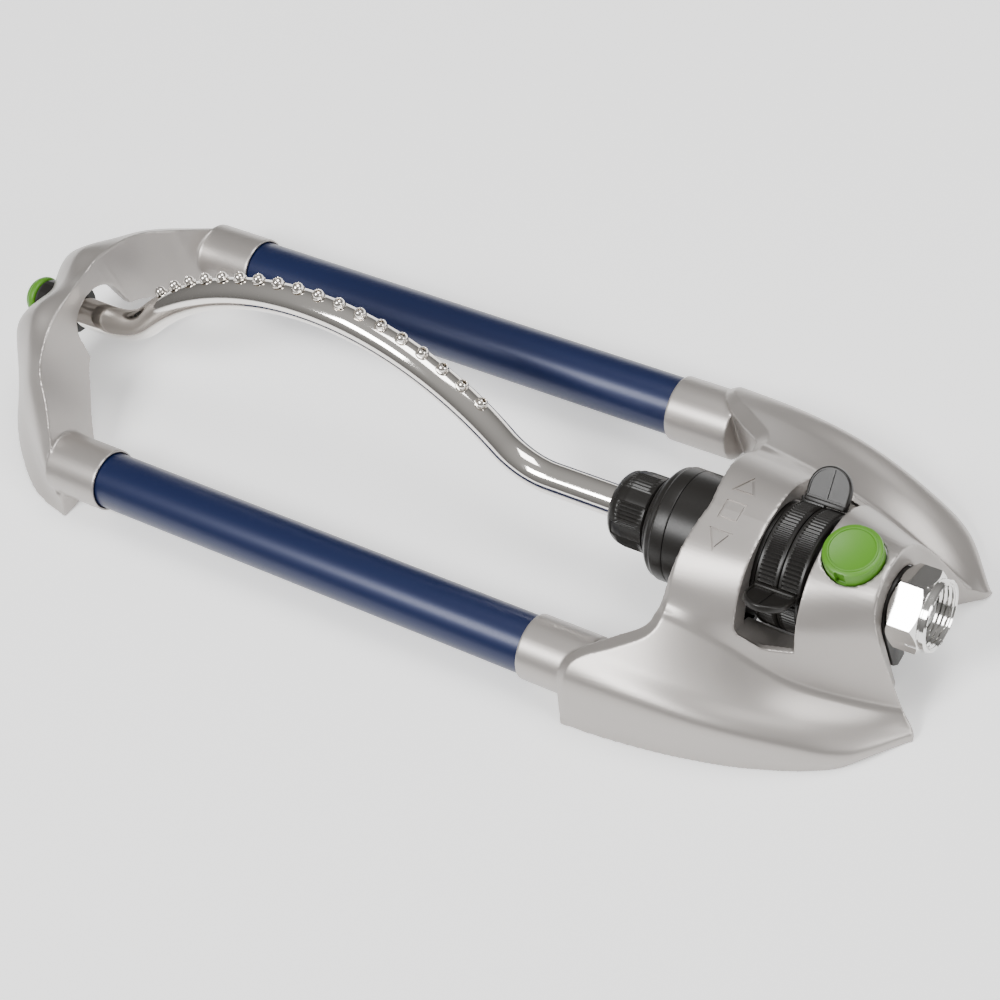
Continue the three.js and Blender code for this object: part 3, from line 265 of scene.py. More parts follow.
def slab(outline, x0, x1):
    """A block of an outline in Y-Z between two places along X."""
    return loft([[(x, y, z) for y, z in outline] for x in (x0, x1)])


def box(x0, x1, y0, y1, z0, z1):
    return prism([(x0, y0), (x1, y0), (x1, y1), (x0, y1)], z0, z1)


def rod(radius, x0, x1, y, z, segments=64):
    made = lathe([(0, x0), (radius, x0), (radius, x1), (0, x1)], segments)
    return shifted(made, Matrix.Translation((0, y, z)))


def post(radius, z0, z1, x, y, segments=48):
    return upright(lathe([(0, z0), (radius, z0), (radius, z1), (0, z1)], segments), x, y)


def evaluated(made):
    graph = bpy.context.evaluated_depsgraph_get()
    data = bpy.data.meshes.new_from_object(made.evaluated_get(graph))
    made.modifiers.clear()
    made.data = data
    return made


def cut(made, tool, operation="DIFFERENCE"):
    """made with tool taken away, joined on or kept in common; the tool is used up."""
    step = made.modifiers.new("cut", "BOOLEAN")
    step.operation = operation
    step.solver = "MANIFOLD"
    step.object = tool
    evaluated(made)
    bpy.data.objects.remove(tool)
    return made


VOXEL = 0.55
KEPT_SHARE = 0.5


def softened(made, smooth):
    """A cast or moulded body: remeshed evenly, its edges rounded over, then thinned."""
    step = made.modifiers.new("even", "REMESH")
    step.mode = "VOXEL"
    step.voxel_size = VOXEL
    step = made.modifiers.new("round", "SMOOTH")
    step.factor = 0.5
    step.iterations = smooth
    evaluated(made)
    step = made.modifiers.new("thin", "DECIMATE")
    step.ratio = KEPT_SHARE
    return evaluated(made)


def bevelled(made, width, segments=3, angle=35):
    step = made.modifiers.new("edge", "BEVEL")
    step.width = width
    step.segments = segments
    step.limit_method = "ANGLE"
    step.angle_limit = math.radians(angle)
    return evaluated(made)


def joined(*parts):
    first = parts[0]
    work = bmesh.new()
    for part in parts:
        work.from_mesh(part.data)
    work.to_mesh(first.data)
    work.free()
    for part in parts[1:]:
        bpy.data.objects.remove(part)
    return first


def piece(name, made, body, slot, nodes, sharp=32):
    made.data.transform(Matrix.Scale(MM, 4) @ Matrix.Translation((-MID_X, 0, -GROUND_Z)))
    made.name = made.data.name = name
    made.data.materials.clear()
    made.data.materials.append(FINISHES[slot])
    made.data.shade_smooth()
    work = bmesh.new()
    work.from_mesh(made.data)
    for edge in work.edges:
        if len(edge.link_faces) == 2 and edge.calc_face_angle(0) > math.radians(sharp):
            edge.smooth = False
    work.to_mesh(made.data)
    work.free()
    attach(made, body)
    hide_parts(*nodes)


def along(rows, at):
    """A smooth curve through [parameter, values...] rows, read at one parameter."""
    last = len(rows) - 1
    i = 0
    while i < last - 1 and at > rows[i + 1][0]:
        i += 1
    before, start, end, after = rows[max(i - 1, 0)], rows[i], rows[i + 1], rows[min(i + 2, last)]
    span = end[0] - start[0]
    t = min(max((at - start[0]) / span, 0), 1)
    values = []
    for k in range(1, len(rows[0])):
        slope_in = (end[k] - before[k]) / (end[0] - before[0]) * span
        slope_out = (after[k] - start[k]) / (after[0] - start[0]) * span
        drop = start[k] - end[k]
        cubic = 2 * drop + slope_in + slope_out
        square = -3 * drop - 2 * slope_in - slope_out
        values.append(((cubic * t + square) * t + slope_in) * t + start[k])
    return values


def steps(start, end, count):
    return [start + (end - start) * i / count for i in range(count + 1)]


def smooth_line(points, count):
    """count + 1 points on a smooth curve through the given points, evenly along their chords."""
    run = [0.0]
    for a, b in zip(points, points[1:]):
        run.append(run[-1] + max(math.dist(a, b), 1e-6))
    rows = [[length, *point] for length, point in zip(run, points)]
    return [along(rows, at) for at in steps(0, run[-1], count)]


# ---- Rails and collars -------------------------------------------------------------------------

RAIL_Y = 63.1
RAIL_R = 12.7
RAIL_WALL = 1.2
RAIL_HALF = 114.4
RAIL_END = RAIL_HALF + 22
COLLAR_R = RAIL_R + 1.5
GRUB_R = 2.0
GRUB_X = 123
GRUB_TOP = -8.5


def add_rails():
    for side, sign in (("near", -1), ("far", 1)):
        inner = RAIL_R - RAIL_WALL
        profile = [(inner, -RAIL_END), (RAIL_R, -RAIL_END), (RAIL_R, RAIL_END), (inner, RAIL_END)]
        made = lathe(rounded(profile, 0.3), 128)
        shifted(made, Matrix.Translation((0, sign * RAIL_Y, 0)))
        piece(f"rail_{side}_tube", made, "frame", "navy_anodised", [f"rail_{side}"])


def collar(end, anchor, sign):
    mouth = end * (RAIL_HALF - 2)
    return rod(COLLAR_R, min(mouth, anchor), max(mouth, anchor), sign * RAIL_Y, 0, 128)


def socket(end, sign):
    mouth = end * (RAIL_HALF - 4)
    floor = end * (RAIL_END + 1)
    return rod(RAIL_R + 0.35, min(mouth, floor), max(mouth, floor), sign * RAIL_Y, 0, 128)


def grub_hole(end, sign):
    """The hole below a collar for the screw that holds the rail."""
    return post(GRUB_R, -COLLAR_R - 1, GRUB_TOP, end * GRUB_X, sign * RAIL_Y)


# ---- Motor housing shell -----------------------------------------------------------------------

CROWN_TOP = 49.5
CROWN_PROFILE = [(0, 0), (0.28, 0.9), (0.52, 3.5), (0.75, 9.3), (0.96, 18)]
CROWN_HALF = [(131, 44), (165, 41), (197, 37.5), (225, 32), (248, 24.5), (268, 20)]
FOLD = [(131, 47, 27), (165, 42.5, 30), (193, 42, 22), (219, 41, 9), (240, 36, 1), (268, 27, -7)]
RIM = [(131, 63, 20), (170, 62, 17), (200, 59, 11), (230, 53, 3), (250, 44, -4), (268, 32, -11)]
SHOULDER = [(131, 75, 12), (170, 73.5, 11), (200, 70, 7), (230, 62, 0), (250, 53, -7), (268, 34, -12)]
SKIRT = [(131, 80.5, 0), (170, 78.5, -2), (200, 74, -5), (230, 65.5, -8), (250, 55.5, -11), (268, 35, -13.5)]
HEM = [(131, 84.5), (155, 83), (185, 79), (215, 71.9), (245, 59.2), (258, 46), (268, 36)]
FRONT_EDGE = [(0, 172), (26, 168.5), (40, 165.5), (47, 162), (54, 151), (62, 140), (70, 134.5), (90, 133)]
REAR_EDGE = [(0, 250), (15, 250.5), (20, 252), (25, 256.5), (30, 263), (33, 267), (38, 268), (90, 268)]
WALL = 2.4
FRONT_RIM = 7.0
RIDGE = 0.9
SHELL_X0 = 129
SHELL_X1 = 269
SLOT_X0 = 198
SLOT_X1 = 222
SLOT_HALF = 38
SLOT_WALL = 1.6
SLOT_CORNER = 2.4
SLOT_DEPTH = 7
BOSS_R = 4.4
BOSS_X = 184
BOSS_Y = 33
BAY_X = 176
BAY_HALF = 40
ANCHOR_X = 142
JOURNAL_R = 21.6
KNOB_X = 234.7
KNOB_R = 12
MOTOR_R = 24
INLET_R = 15


def half_profile(x, wall=0):
    """The far half of the shell's section at x, from the crown's middle to the hem."""
    half = along(CROWN_HALF, x)[0]
    t = min(max((x - 200) / 50, 0), 1)
    top = CROWN_TOP - 1.5 * t * t * (3 - 2 * t)
    fold = along(FOLD, x)
    crown = [(k * half, top - drop) for k, drop in CROWN_PROFILE] + [(fold[0], fold[1] + RIDGE)]
    wing = [(fold[0] + 2 * RIDGE, fold[1] - RIDGE)]
    wing += [tuple(along(rows, x)) for rows in (RIM, SHOULDER, SKIRT)]
    wing.append((along(HEM, x)[0], GROUND_Z))
    line = [tuple(p) for p in smooth_line(crown, 26)] + [tuple(p) for p in smooth_line(wing, 34)]
    if not wall:
        return line
    moved = []
    for i, (y, z) in enumerate(line):
        (y0, z0), (y1, z1) = line[max(i - 1, 0)], line[min(i + 1, len(line) - 1)]
        length = math.hypot(y1 - y0, z1 - z0)
        out_y = 0 if i == 0 else (z0 - z1) / length
        out_z = 1 if i == 0 else (y1 - y0) / length
        moved.append((max(y - wall * out_y, 0), z - wall * out_z))
    moved[-1] = (moved[-1][0], GROUND_Z - 1)
    return moved


def shell_plan(wall, rim=0):
    half = steps(0, 88, 110)
    front = [(along(FRONT_EDGE, y)[0] + wall + rim * min(max((y - 22) / 10, 0), 1), y) for y in half]
    rear = [(along(REAR_EDGE, y)[0] - wall, y) for y in half][::-1]
    far = front + rear
    return far + [(x, -y) for x, y in far[:-1]][::-1][:-1]


def shell_block(wall, rim=0):
    rings = []
    for x in steps(SHELL_X0, SHELL_X1, 70):
        far = [(x, y, z) for y, z in half_profile(x, wall)]
        near = [(x, -y, z) for x, y, z in far[1:]][::-1]
        rings.append(near + far)
    return cut(loft(rings), prism(shell_plan(wall, rim), GROUND_Z - 2, CROWN_TOP + 1), "INTERSECT")


def rounded_plan(x0, x1, half, corner):
    return rounded([(x0, -half), (x1, -half), (x1, half), (x0, half)], corner, 8)


def slot_block(grow, z0):
    plan = rounded_plan(SLOT_X0 - grow, SLOT_X1 + grow, SLOT_HALF + grow, SLOT_CORNER + grow)
    return prism(plan, z0, CROWN_TOP + 1)


LINER_R = 26.3
LINER_TOP = 14
LINER_END = math.radians(46)


def slot_ramp(sign):
    """The sloping floor at one end of the slot, with a liner that curves on under the adjuster rings."""
    rings = []
    for x in steps(SLOT_X0 - 1.2, SLOT_X1 + 1.2, 24):
        lip = surface_height(x, SLOT_HALF) - SLOT_WALL
        start = math.asin((AXIS_Z - max(lip - 7, LINER_TOP)) / LINER_R)
        outline = [(SLOT_HALF + SLOT_WALL, lip - 2.4), (SLOT_HALF + SLOT_WALL, lip + 0.6)]
        for radius, turns in ((LINER_R, (start, LINER_END)), (LINER_R + 2, (LINER_END, start + 0.12))):
            outline += [(radius * math.cos(t), AXIS_Z - radius * math.sin(t)) for t in steps(*turns, 6)]
        rings.append([(x, sign * y, z) for y, z in outline])
    return cut(loft(rings), shell_block(WALL / 2), "INTERSECT")


def surface_height(x, y):
    """Height of the shell's outside above a point in plan."""
    line = half_profile(x)
    for (y0, z0), (y1, z1) in zip(line, line[1:]):
        if y0 <= y <= y1 and y1 > y0:
            return z0 + (z1 - z0) * (y - y0) / (y1 - y0)
    return line[-1][1]


BAND_X0 = 130
BAND_X1 = 267
BAND = [(24, 0.6), (34, 2.6), (44, 5.2), (54, 6.2), (64, 4.6), (74, 3.6), (84, 3.2)]


def edge_band(sign):
    """The slanted face along the shell's front edge, cut back further beside the crown."""
    rings = []
    for y in steps(22, 83.5, 80):
        x = along(FRONT_EDGE, y)[0]
        width = along(BAND, max(y, 24))[0]
        slope = (along(FRONT_EDGE, y + 1)[0] - along(FRONT_EDGE, y - 1)[0]) / 2
        back = Vector((1, -slope)).normalized()
        low = surface_height(max(x, BAND_X0), y)
        inner = surface_height(min(x + back.x * width, BAND_X1), max(y + back.y * width, 0))
        start = Vector((x, y, low - width * 0.75))
        end = Vector((x + back.x * width, y + back.y * width, inner))
        along_band = end - start
        base = start - along_band * 0.6
        top = end + along_band * 0.35
        over = Vector((-back.x * 8, -back.y * 8, 14))
        rings.append([(p.x, sign * p.y, p.z) for p in (base, top, top + over, base + over)])
    return loft(rings)


def incised(points, width, depth, closed):
    """Cutter for a line drawn over the crown through points in plan."""
    total = len(points)
    out, inner = [], []
    for i, (x, y) in enumerate(points):
        before = Vector(points[i - 1]) if i or closed else None
        after = Vector(points[(i + 1) % total]) if i < total - 1 or closed else None
        here = Vector((x, y))
        lines = [d.normalized() for d in ((here - before) if before is not None else None,
                                           (after - here) if after is not None else None) if d]
        normals = [Vector((-d.y, d.x)) for d in lines]
        mean = (normals[0] + normals[-1]).normalized()
        reach = width / 2 / max(mean.dot(normals[0]), 0.4)
        out.append(here + mean * reach)
        inner.append(here - mean * reach)
    rings = []
    for a, b in zip(out, inner):
        tops = [surface_height(p.x, abs(p.y)) for p in (a, b)]
        rings.append([(a.x, a.y, tops[0] - depth), (b.x, b.y, tops[1] - depth),
                      (b.x, b.y, tops[1] + 1), (a.x, a.y, tops[0] + 1)])
    return torus_of(rings) if closed else loft(rings)


def icons():
    """Generic marks over the crown: a square between two open triangles."""
    x, side = 182, 4.0
    square = [(x - side, -side), (x + side, -side), (x + side, side), (x - side, side)]
    marks = [incised(square, 1.0, 0.6, True)]
    for sign in (-1, 1):
        near, far = sign * 9.6, sign * 17.2
        triangle = [(x - side - 0.4, near), (x + side + 0.4, near), (x, far)]
        marks.append(incised(triangle, 1.0, 0.6, True))
    return marks


def slot_collar():
    """The wall round the slot, hanging a short way below the shell's top."""
    kept = cut(shell_block(WALL / 2), shell_block(WALL + SLOT_DEPTH))
    return cut(slot_block(SLOT_WALL, AXIS_Z), kept, "INTERSECT")


def cradle_boss(sign):
    boss = post(BOSS_R, -1, CROWN_TOP, BOSS_X, sign * BOSS_Y)
    return cut(boss, shell_block(WALL / 2), "INTERSECT")


def shell_openings():
    """Cutters for the motor, the inlet, the bay below the motor and the knob."""
    return [
        rod(MOTOR_R + 0.6, SHELL_X0, SLOT_X1, 0, AXIS_Z, 96),
        rod(JOURNAL_R, SLOT_X1 - 1, SLOT_X1 + 3.2, 0, AXIS_Z, 96),
        rod(INLET_R, SLOT_X1, SHELL_X1 + 1, 0, AXIS_Z, 96),
        box(SLOT_X1, SHELL_X1 + 1, -INLET_R, INLET_R, GROUND_Z - 1, AXIS_Z),
        box(SHELL_X0, BAY_X, -BAY_HALF, BAY_HALF, GROUND_Z - 1, AXIS_Z),
        post(KNOB_R + 0.4, AXIS_Z, CROWN_TOP + 1, KNOB_X, 0, 96),
    ]


def housing_shell():
    made = cut(shell_block(0), shell_block(WALL, FRONT_RIM))
    made = cut(made, slot_collar(), "UNION")
    cut(made, slot_block(0, AXIS_Z - 1))
    for sign in (-1, 1):
        cut(made, slot_ramp(sign), "UNION")
    for sign in (-1, 1):
        cut(made, cradle_boss(sign), "UNION")
    for sign in (-1, 1):
        cut(made, edge_band(sign))
        cut(made, collar(1, ANCHOR_X, sign), "UNION")
    for opening in shell_openings():
        cut(made, opening)
    for sign in (-1, 1):
        cut(made, socket(1, sign))
        cut(made, grub_hole(1, sign))
        cut(made, post(GRUB_R, -6, 9.7, BOSS_X, sign * BOSS_Y))
    softened(made, 5)
    for mark in icons():
        cut(made, mark)
    return made


# ---- End arch ----------------------------------------------------------------------------------

CREST = [(0, -157, 0, 48), (0.2, -157.5, 18.5, 45.7), (0.35, -157, 33, 40),
         (0.47, -154, 42.5, 35), (0.6, -147, 52, 28), (0.75, -142, 62, 19), (0.9, -138, 72, 8),
         (1, -134, 78, -3)]
BULGE = [(0, -186, 0, 26), (0.15, -186.5, 15, 28), (0.28, -186, 25, 25), (0.42, -180, 40, 15),
         (0.6, -169, 55, 6), (0.8, -154, 70, -2), (1, -135, 80.5, -8)]
BRIM = [(0, -187, 0, 8), (0.2, -190, 20, 6), (0.35, -187, 38, 1), (0.5, -182, 52, -5),
        (0.65, -171, 66, -11), (0.8, -156, 77, -14.5), (1, -135, 82.5, -15)]
SILL = [(0, -154, 0, 16), (0.2, -153, 17, 14), (0.35, -148, 29, 6), (0.5, -142, 40, 0),
        (0.7, -137, 48, -5), (0.85, -134, 56, -12), (1, -132, 68, -15)]
ARCH_STEPS = 120
FOOT_STEPS = 30
ARCH_ANCHOR_X = -141
ARCH_CENTRE_X = -130
BEARING_BORE_R = 9.5
BEARING_BOSS_R = 12
BAY_R = 15
BAY_DEPTH = (-170, -145)


def arch_ring(spot):
    """The arch's section at a spot from -1 (near foot) to 1 (far foot), with two lobes each side."""
    sign = -1 if spot < 0 else 1
    crest, bulge, brim, sill = [Vector(along(rows, abs(spot))) for rows in (CREST, BULGE, BRIM, SILL)]
    swell = math.sin(abs(spot) * 2.5 * math.pi) ** 2 * (1 - abs(spot))
    brow = crest.lerp(bulge, 0.4) + Vector((-1.5, 0, 2.5 + 4 * swell))
    bulge += Vector((bulge.x - ARCH_CENTRE_X, bulge.y, 0)).normalized() * (3.6 * swell - 1)
    line = smooth_line([crest, brow, bulge, brim], 30)
    ring = [Vector(point) for point in line] + [sill]
    return [Vector((p.x, sign * p.y, p.z)) for p in ring]


def hollow_ring(spot):
    """The section of the arch's hollow, drawn in from the skin and open below."""
    ring = arch_ring(spot)
    middle = sum(ring, Vector()) / len(ring)
    moved = [p.lerp(middle, max(0.28, 3.8 / (middle - p).length)) for p in ring[:-2]]
    brim, sill = ring[-2:]
    inward, down = (sill - brim).normalized() * 4, Vector((0, 0, 6))
    return moved + [brim + inward - down, sill - inward - down]


def end_arch():
    spots = steps(-1, 1, ARCH_STEPS)
    made = loft([arch_ring(spot) for spot in spots])
    whole = loft([arch_ring(spot) for spot in spots])
    boss = cut(rod(BEARING_BOSS_R, -186.5, -170, 0, AXIS_Z, 64), whole, "INTERSECT")
    cut(made, loft([hollow_ring(spot) for spot in spots[FOOT_STEPS:-FOOT_STEPS]]))
    cut(made, boss, "UNION")
    cut(made, rod(BAY_R, *BAY_DEPTH, 0, AXIS_Z, 64))
    cut(made, slab([(-BAY_R, AXIS_Z), (BAY_R, AXIS_Z), (20, -8), (-20, -8)], *BAY_DEPTH))
    for sign in (-1, 1):
        cut(made, collar(-1, ARCH_ANCHOR_X, sign), "UNION")
    cut(made, rod(BEARING_BORE_R, -197, -169, 0, AXIS_Z, 64))
    for sign in (-1, 1):
        cut(made, socket(-1, sign))
        cut(made, grub_hole(-1, sign))
    return softened(made, 6)


# ---- Spray tube, jets, nut and plug --------------------------------------------------------------

TUBE_R = 7.0
TUBE_WALL = 1
TUBE_LEFT = -186.6
TUBE_RIGHT = 139
TUBE_MID = -28.0
ARC_R = 140.0
BEND_R = 37.0
APEX = 47.0
ARC_HALF = math.acos((BEND_R + ARC_R - APEX) / (BEND_R + ARC_R))
BEND_REACH = (ARC_R + BEND_R) * math.sin(ARC_HALF)


def arc_point(angle, radius):
    return Vector((TUBE_MID + radius * math.sin(angle), 0, APEX - ARC_R + radius * math.cos(angle)))


def tube_line(x0, x1):
    """Points and headings along the tube's centreline."""
    left, right = TUBE_MID - BEND_REACH, TUBE_MID + BEND_REACH
    line = [(Vector((x, 0, 0)), 0.0) for x in steps(x0, left, 14)]
    for turn in steps(0, ARC_HALF, 24)[1:]:
        at = Vector((left + BEND_R * math.sin(turn), 0, BEND_R * (1 - math.cos(turn))))
        line.append((at, turn))
    for angle in steps(-ARC_HALF, ARC_HALF, 120)[1:]:
        line.append((arc_point(angle, ARC_R), -angle))
    for turn in steps(ARC_HALF, 0, 24)[1:]:
        at = Vector((right - BEND_R * math.sin(turn), 0, BEND_R * (1 - math.cos(turn))))
        line.append((at, -turn))
    return line + [(Vector((x, 0, 0)), 0.0) for x in steps(right, x1, 14)[1:]]


def tube_ring(at, heading, radius):
    up = Vector((-math.sin(heading), 0, math.cos(heading)))
    turns = [2 * math.pi * i / 64 for i in range(64)]
    return [at + Vector((0, radius * math.cos(t), 0)) + up * radius * math.sin(t) for t in turns]


def add_tube():
    line = tube_line(TUBE_LEFT, TUBE_RIGHT)
    outer = [tube_ring(at, heading, TUBE_R) for at, heading in line]
    inner = [tube_ring(at, heading, TUBE_R - TUBE_WALL) for at, heading in line][::-1]
    made = tilted(torus_of(outer + inner))
    piece("curved_spray_tube", made, "spray", "polished_tube", ["spray_tube"])


JETS = 18
JET_PITCH = math.radians(4.2)


def add_jets():
    for i in range(JETS):
        angle = (i - (JETS - 1) / 2) * JET_PITCH
        dome = [(0.8, 4.8), (1.5, 4.8), (1.5, 7.05), (3.0, 7.05), (3.0, 7.45), (2.5, 7.6)]
        dome += [(2.45 * math.cos(t), 8.1 + 2.3 * math.sin(t)) for t in steps(0.05, 1.12, 6)]
        dome += [(0.95, 10.0), (0.8, 9.6)]
        made = lathe(dome, 32)
        stand = Matrix.Rotation(angle, 4, "Y") @ Matrix.Rotation(-math.pi / 2, 4, "Y")
        shifted(made, Matrix.Translation(arc_point(angle, ARC_R)) @ stand)
        name = f"{i + 1:02d}"
        piece(f"jet_{name}", tilted(made), "spray", "jet_metal", [f"nozzle_{name}"])


NUT = (125.0, 143.7, 16.2)
PADS = 6
RIBS_PER_PAD = 10


def nut_grip(r, x, turn):
    """Ribbed pads round the nut with smooth hollows between them."""
    if r < 13.5 or not 128.5 < x < 142.8:
        return r
    sector = (turn / (2 * math.pi) * PADS) % 1
    edge = min(max((0.31 - abs(sector - 0.5)) / 0.03, 0), 1)
    rib = 0.5 - 0.5 * math.cos(sector * 2 * math.pi * RIBS_PER_PAD)
    ends = min(max((x - 130.5) / 1.2, 0), 1) * min(max((142 - x) / 0.8, 0), 1)
    return r - ends * (0.62 * edge * rib) - (1 - edge) * 0.55


def add_nut():
    x0, x1, radius = NUT
    outside = [(7.5, x0), (10.6, x0), (12.6, x0 + 0.7), (14.4, x0 + 2.2), (15.6, x0 + 4.6), (16.1, x0 + 7.5)]
    outside = smooth_line(outside, 26) + [[radius, x] for x in steps(x0 + 8, x1 - 0.5, 14)]
    inside = [(15.6, x1), (10.5, x1), (10.5, 131.1), (7.4, 131.1)]
    made = tilted(lathe([tuple(p) for p in outside] + inside, 360, nut_grip))
    piece("tube_clamp_nut", made, "spray", "black_plastic", ["tube_nut"])


def add_plug():
    profile = [(0, -172.6), (5.7, -172.6), (5.7, -188), (8.8, -188), (9.6, -188.7), (9.6, -190.4)]
    profile += [(9.3, -191.2), (8.9, -191.6), (8.6, -192.6), (7.2, -194.2), (4.8, -195.1), (0, -195.4)]
    made = tilted(lathe(rounded(profile, 0.5, 4, False), 96))
    piece("cleaning_plug", made, "spray", "green_plastic", ["end_plug"])


# ---- Motor and adjuster rings --------------------------------------------------------------------

def add_motor():
    cap = [(8.35, 145), (17.6, 145), (18.3, 145.6), (18.6, 147.4), (21.4, 147.8), (23.2, 149.6)]
    cap += [(23.4, 151.4), (MOTOR_R, 152), (MOTOR_R, 157.7), (20.5, 157.7), (20.5, 153.5)]
    cap += [(11, 153.5), (11, 150.2), (8.35, 150.2)]
    made = on_axis(lathe(rounded(cap, 0.5), 128))
    piece("motor_cap", made, "frame", "black_plastic", ["motor_front_cap"])
    case = [(20.5, 158), (MOTOR_R, 158), (MOTOR_R, 199.3), (JOURNAL_R, 199.3), (JOURNAL_R, SLOT_X1)]
    case += [(18.4, SLOT_X1), (18.4, 208)]
    case += [(0, 208), (0, 204), (18.4, 204), (18.4, 197), (20.5, 197)]
    made = lathe(case, 128)
    cut(made, rod(4, 203, 209, 0, -11, 32))
    piece("motor_drum", on_axis(made), "frame", "black_plastic", ["motor_case"])


RINGS = (("far", 1, 200.0, 209.8), ("near", -1, 210.2, 220.0))
RING_R = 25.4
KNURLS = 90
KNURL_DEPTH = 0.75
KNURL_MARGIN = 1.4
TAB_X = 210
TAB_R = 9.3
TAB_ROUND = 32.7
TAB_TURN = math.radians(55)
RECESS_R = 8.1


def knurl(x0, x1):
    """A wave of fine ridges round a ring, fading out at its plain margins."""
    start, end = x0 + KNURL_MARGIN, x1 - KNURL_MARGIN

    def shape(r, x, turn):
        if r < 25 or not start < x < end:
            return r
        wave = 0.5 - 0.5 * math.cos(turn * KNURLS)
        ends = min(1, (x - start) / 0.5, (end - x) / 0.5)
        return r - KNURL_DEPTH * ends * wave
    return shape


def tab_recess(face, half):
    """One half of the shallow recess that leaves a rim and a middle rib on a thumb tab's face."""
    turns = steps(0, math.pi / 2 - 0.05, 16)
    arc = [(RECESS_R * math.cos(t), TAB_ROUND + RECESS_R * math.sin(t)) for t in turns]
    outline = [(0.4, 28.8), (RECESS_R, 28.8)] + arc
    return loft([[(TAB_X + half * u, face * side, v) for u, v in outline] for side in (1.05, 2.5)])


def thumb_tab(x0, x1, turn):
    blade = [(-TAB_R, 25.9), (TAB_R, 25.9), (TAB_R, TAB_ROUND)]
    turns = steps(0, math.pi, 28)[1:]
    blade += [(TAB_R * math.cos(t), TAB_ROUND + TAB_R * math.sin(t)) for t in turns]
    rings = [[(TAB_X + u, side, v) for u, v in blade] for side in (-1.5, 1.5)]
    made = bevelled(loft(rings), 0.8)
    for face in (-1, 1):
        for half in (-1, 1):
            cut(made, tab_recess(face, half))
    foot = box(x0, x1, -1.5, 1.5, 24, 27.4)
    bar = bevelled(box(201.2, 218.8, -2.3, 2.3, 26.1, 28.0), 0.6)
    made = joined(made, foot, bar)
    return shifted(made, Matrix.Rotation(-turn, 4, "X"))


def add_rings():
    for side, sign, x0, x1 in RINGS:
        walls = [(RING_R, x) for x in steps(x0 + 0.4, x1 - 0.4, 30)]
        profile = [(21.95, x0), (25.0, x0)] + walls + [(25.0, x1), (21.95, x1)]
        ring = lathe(profile, 720, knurl(x0, x1))
        made = on_axis(joined(ring, thumb_tab(x0, x1, sign * TAB_TURN)))
        piece(f"adjuster_{side}", made, f"adjuster_{side}", "black_plastic", [f"adjuster_ring_{side}"])


# ---- Inlet ---------------------------------------------------------------------------------------

def add_knob():
    profile = [(3.3, 41), (KNOB_R, 41), (KNOB_R, 42.4), (11.6, 42.6), (11.6, 43.0), (KNOB_R, 43.2)]
    profile += [(KNOB_R, 50.5), (11.6, 51.5), (10.7, 52.05), (10.1, 52.1), (9.9, 52.6), (9.2, 52.6)]
    profile += [(9.0, 52.1), (0, 52.0), (0, 46.3), (3.3, 46.3)]
    made = upright(lathe(profile, 128), KNOB_X)
    for sign in (-1, 1):
        side = sign * KNOB_R
        cut(made, bevelled(box(KNOB_X - 2.2, KNOB_X + 2.2, side - 1.5, side + 1.5, 45, 51.6), 0.4))
    made = bevelled(made, 0.25, 2, 40)
    piece("flow_control_knob", made, "knob", "green_plastic", ["flow_knob"])


def add_yoke():
    r = INLET_R - 0.4
    outline = [(r * math.cos(t), AXIS_Z + r * math.sin(t)) for t in steps(0, math.pi, 48)]
    outline += [(-r, -2), (-r + 3, -6), (r - 3, -6), (r, -2)]
    made = slab(outline, 244.3, 251)
    cut(made, rod(9.35, 243, 252, 0, AXIS_Z, 96))
    cut(made, box(243, 252, -6, 6, -7, AXIS_Z - 13))
    piece("inlet_bracket", bevelled(made, 0.7), "frame", "black_plastic", ["inlet_yoke"])


SWIVEL = (251.3, 268.0)
ACROSS_FLATS = 29.5
THREAD_PITCH = 1.9


def thread(r, x, turn):
    if not 12.4 < r < 13.4 or x < 258.5 or x > 267.2:
        return r
    phase = (x / THREAD_PITCH - turn / (2 * math.pi)) % 1
    return r - 0.75 * (1 - abs(2 * phase - 1)) + 0.15


def add_swivel():
    x0, x1 = SWIVEL
    corner = ACROSS_FLATS / math.sqrt(3)
    turns = [(side + 0.5) * math.pi / 3 for side in range(6)]
    hexagon = [(corner * math.cos(t), corner * math.sin(t)) for t in turns]
    flats = []
    for (ya, za), (yb, zb) in zip(hexagon, hexagon[1:] + hexagon[:1]):
        flats += [(ya + (yb - ya) * k / 8, za + (zb - za) * k / 8) for k in range(8)]
    made = slab(flats, x0, 264.4)
    crown = [(0, x0), (14.6, x0), (corner + 0.3, x0 + 2.2), (corner + 0.3, 262.2), (14.6, 264.4), (0, 264.4)]
    cut(made, lathe(crown, 128), "INTERSECT")
    rim = [(0, 263), (14.3, 263), (14.3, 265.2), (14.9, 265.6), (14.9, 267.4), (14.4, x1), (0, x1)]
    cut(made, lathe(rim, 128), "UNION")
    bore = [(0, x0 + 1.4), (13, x0 + 1.4)] + [(13, x) for x in steps(x0 + 2, x1 - 0.6, 90)]
    cut(made, lathe(bore + [(13.5, x1 + 0.05), (13.5, x1 + 1), (0, x1 + 1)], 192, thread))
    cut(made, rod(9.35, x0 - 1, x0 + 2, 0, 0, 96))
    made = bevelled(made, 0.35, 2, 28)
    piece("hose_coupling_nut", on_axis(made), "hose_nut", "chrome", ["hose_swivel_nut"], 25)


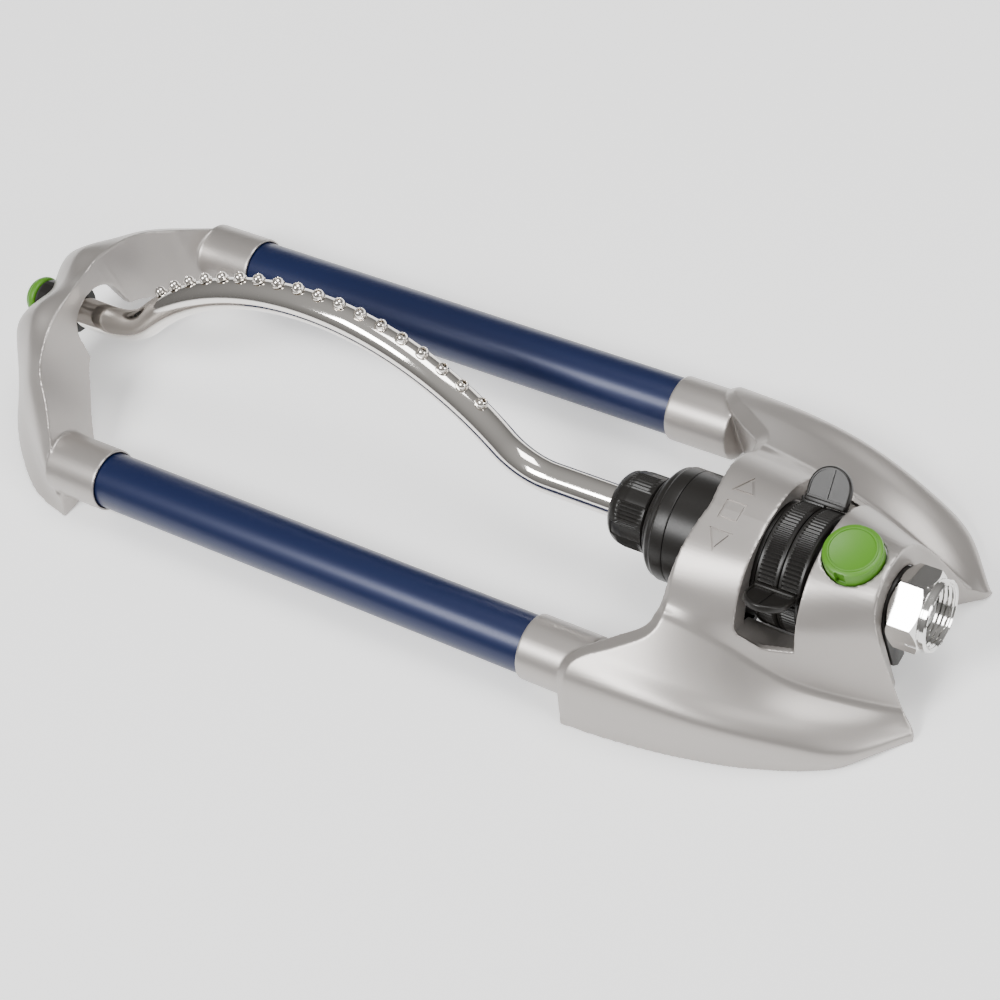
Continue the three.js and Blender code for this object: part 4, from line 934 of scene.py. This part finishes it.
def add_strainer():
    """Woven wire dome in a rim, over its CAD solid."""
    base = 258.8
    points, faces = [], []
    across = 40
    for i in range(across + 1):
        for j in range(across + 1):
            y, z = (i / across * 2 - 1) * 9.2, (j / across * 2 - 1) * 9.2
            r = math.hypot(y, z)
            k = max(abs(y), abs(z)) / max(r, 1e-6)
            y, z = y * k, z * k
            r = min(math.hypot(y, z) / 9.2, 1)
            points.append((base + 5.2 * math.sqrt(max(1 - r * r, 0)), y, z))
    for i in range(across):
        for j in range(across):
            a = i * (across + 1) + j
            faces.append((a, a + 1, a + across + 2, a + across + 1))
    mesh = mesh_object(points, faces)
    step = mesh.modifiers.new("wire", "WIREFRAME")
    step.thickness = 0.16
    step.use_replace = True
    evaluated(mesh)
    rim = lathe(rounded([(9.0, 258.0), (12.5, 258.0), (12.5, 258.8), (9.0, 258.8)], 0.2), 96)
    piece("wire_strainer", on_axis(joined(rim, mesh)), "frame", "steel", ["filter_screen"])


# ---- Floor and light -----------------------------------------------------------------------------

def add_floor():
    floor = mesh_object([(-6, -6, 0), (6, -6, 0), (6, 6, 0), (-6, 6, 0)], [(0, 1, 2, 3)])
    floor.name = "floor"
    floor.data.materials.append(finish("floor_white", (0.90, 0.90, 0.90), 0, 0.8, 60, 0.0, 0.0,
                                      Emission_Color=(1, 1, 1, 1), Emission_Strength=0.45))
    floor.location.z = -0.0002


def area(name, at, aim, size, power):
    data = bpy.data.lights.new(name, "AREA")
    data.energy = power
    data.shape = "SQUARE"
    data.size = size
    lamp = bpy.data.objects.new(name, data)
    lamp.location = at
    lamp.rotation_mode = "QUATERNION"
    lamp.rotation_quaternion = (Vector(aim) - Vector(at)).to_track_quat("-Z", "Y")
    scene.collection.objects.link(lamp)


def add_light():
    world = bpy.data.worlds.new("studio")
    scene.world = world
    world.use_nodes = True
    nodes, links = world.node_tree.nodes, world.node_tree.links
    sky = nodes["Background"]
    sky.inputs["Color"].default_value = (1, 0.985, 0.965, 1)
    heading, axes, rise = (nodes.new(f"ShaderNode{kind}") for kind in ("TexCoord", "SeparateXYZ", "MapRange"))
    rise.inputs["To Min"].default_value = 0.16
    rise.inputs["To Max"].default_value = 0.50
    links.new(heading.outputs["Generated"], axes.inputs["Vector"])
    links.new(axes.outputs["Z"], rise.inputs["Value"])
    links.new(rise.outputs["Result"], sky.inputs["Strength"])
    area("key", (-0.5, -1.0, 1.5), (0, 0, 0), 0.7, 34)
    area("top", (0.3, 0.6, 1.6), (0, 0, 0), 0.9, 22)
    area("side", (1.5, -0.2, 0.7), (0.1, 0, 0), 0.5, 9)


make_camera()
paint_frame()
add_rails()
piece("motor_housing", housing_shell(), "frame", "silver_paint", ["housing_shell"])
piece("arch_end", end_arch(), "frame", "silver_paint", ["end_arch"])
add_tube()
add_jets()
add_nut()
add_plug()
add_motor()
add_rings()
add_knob()
add_yoke()
add_swivel()
add_strainer()
add_floor()
add_light()
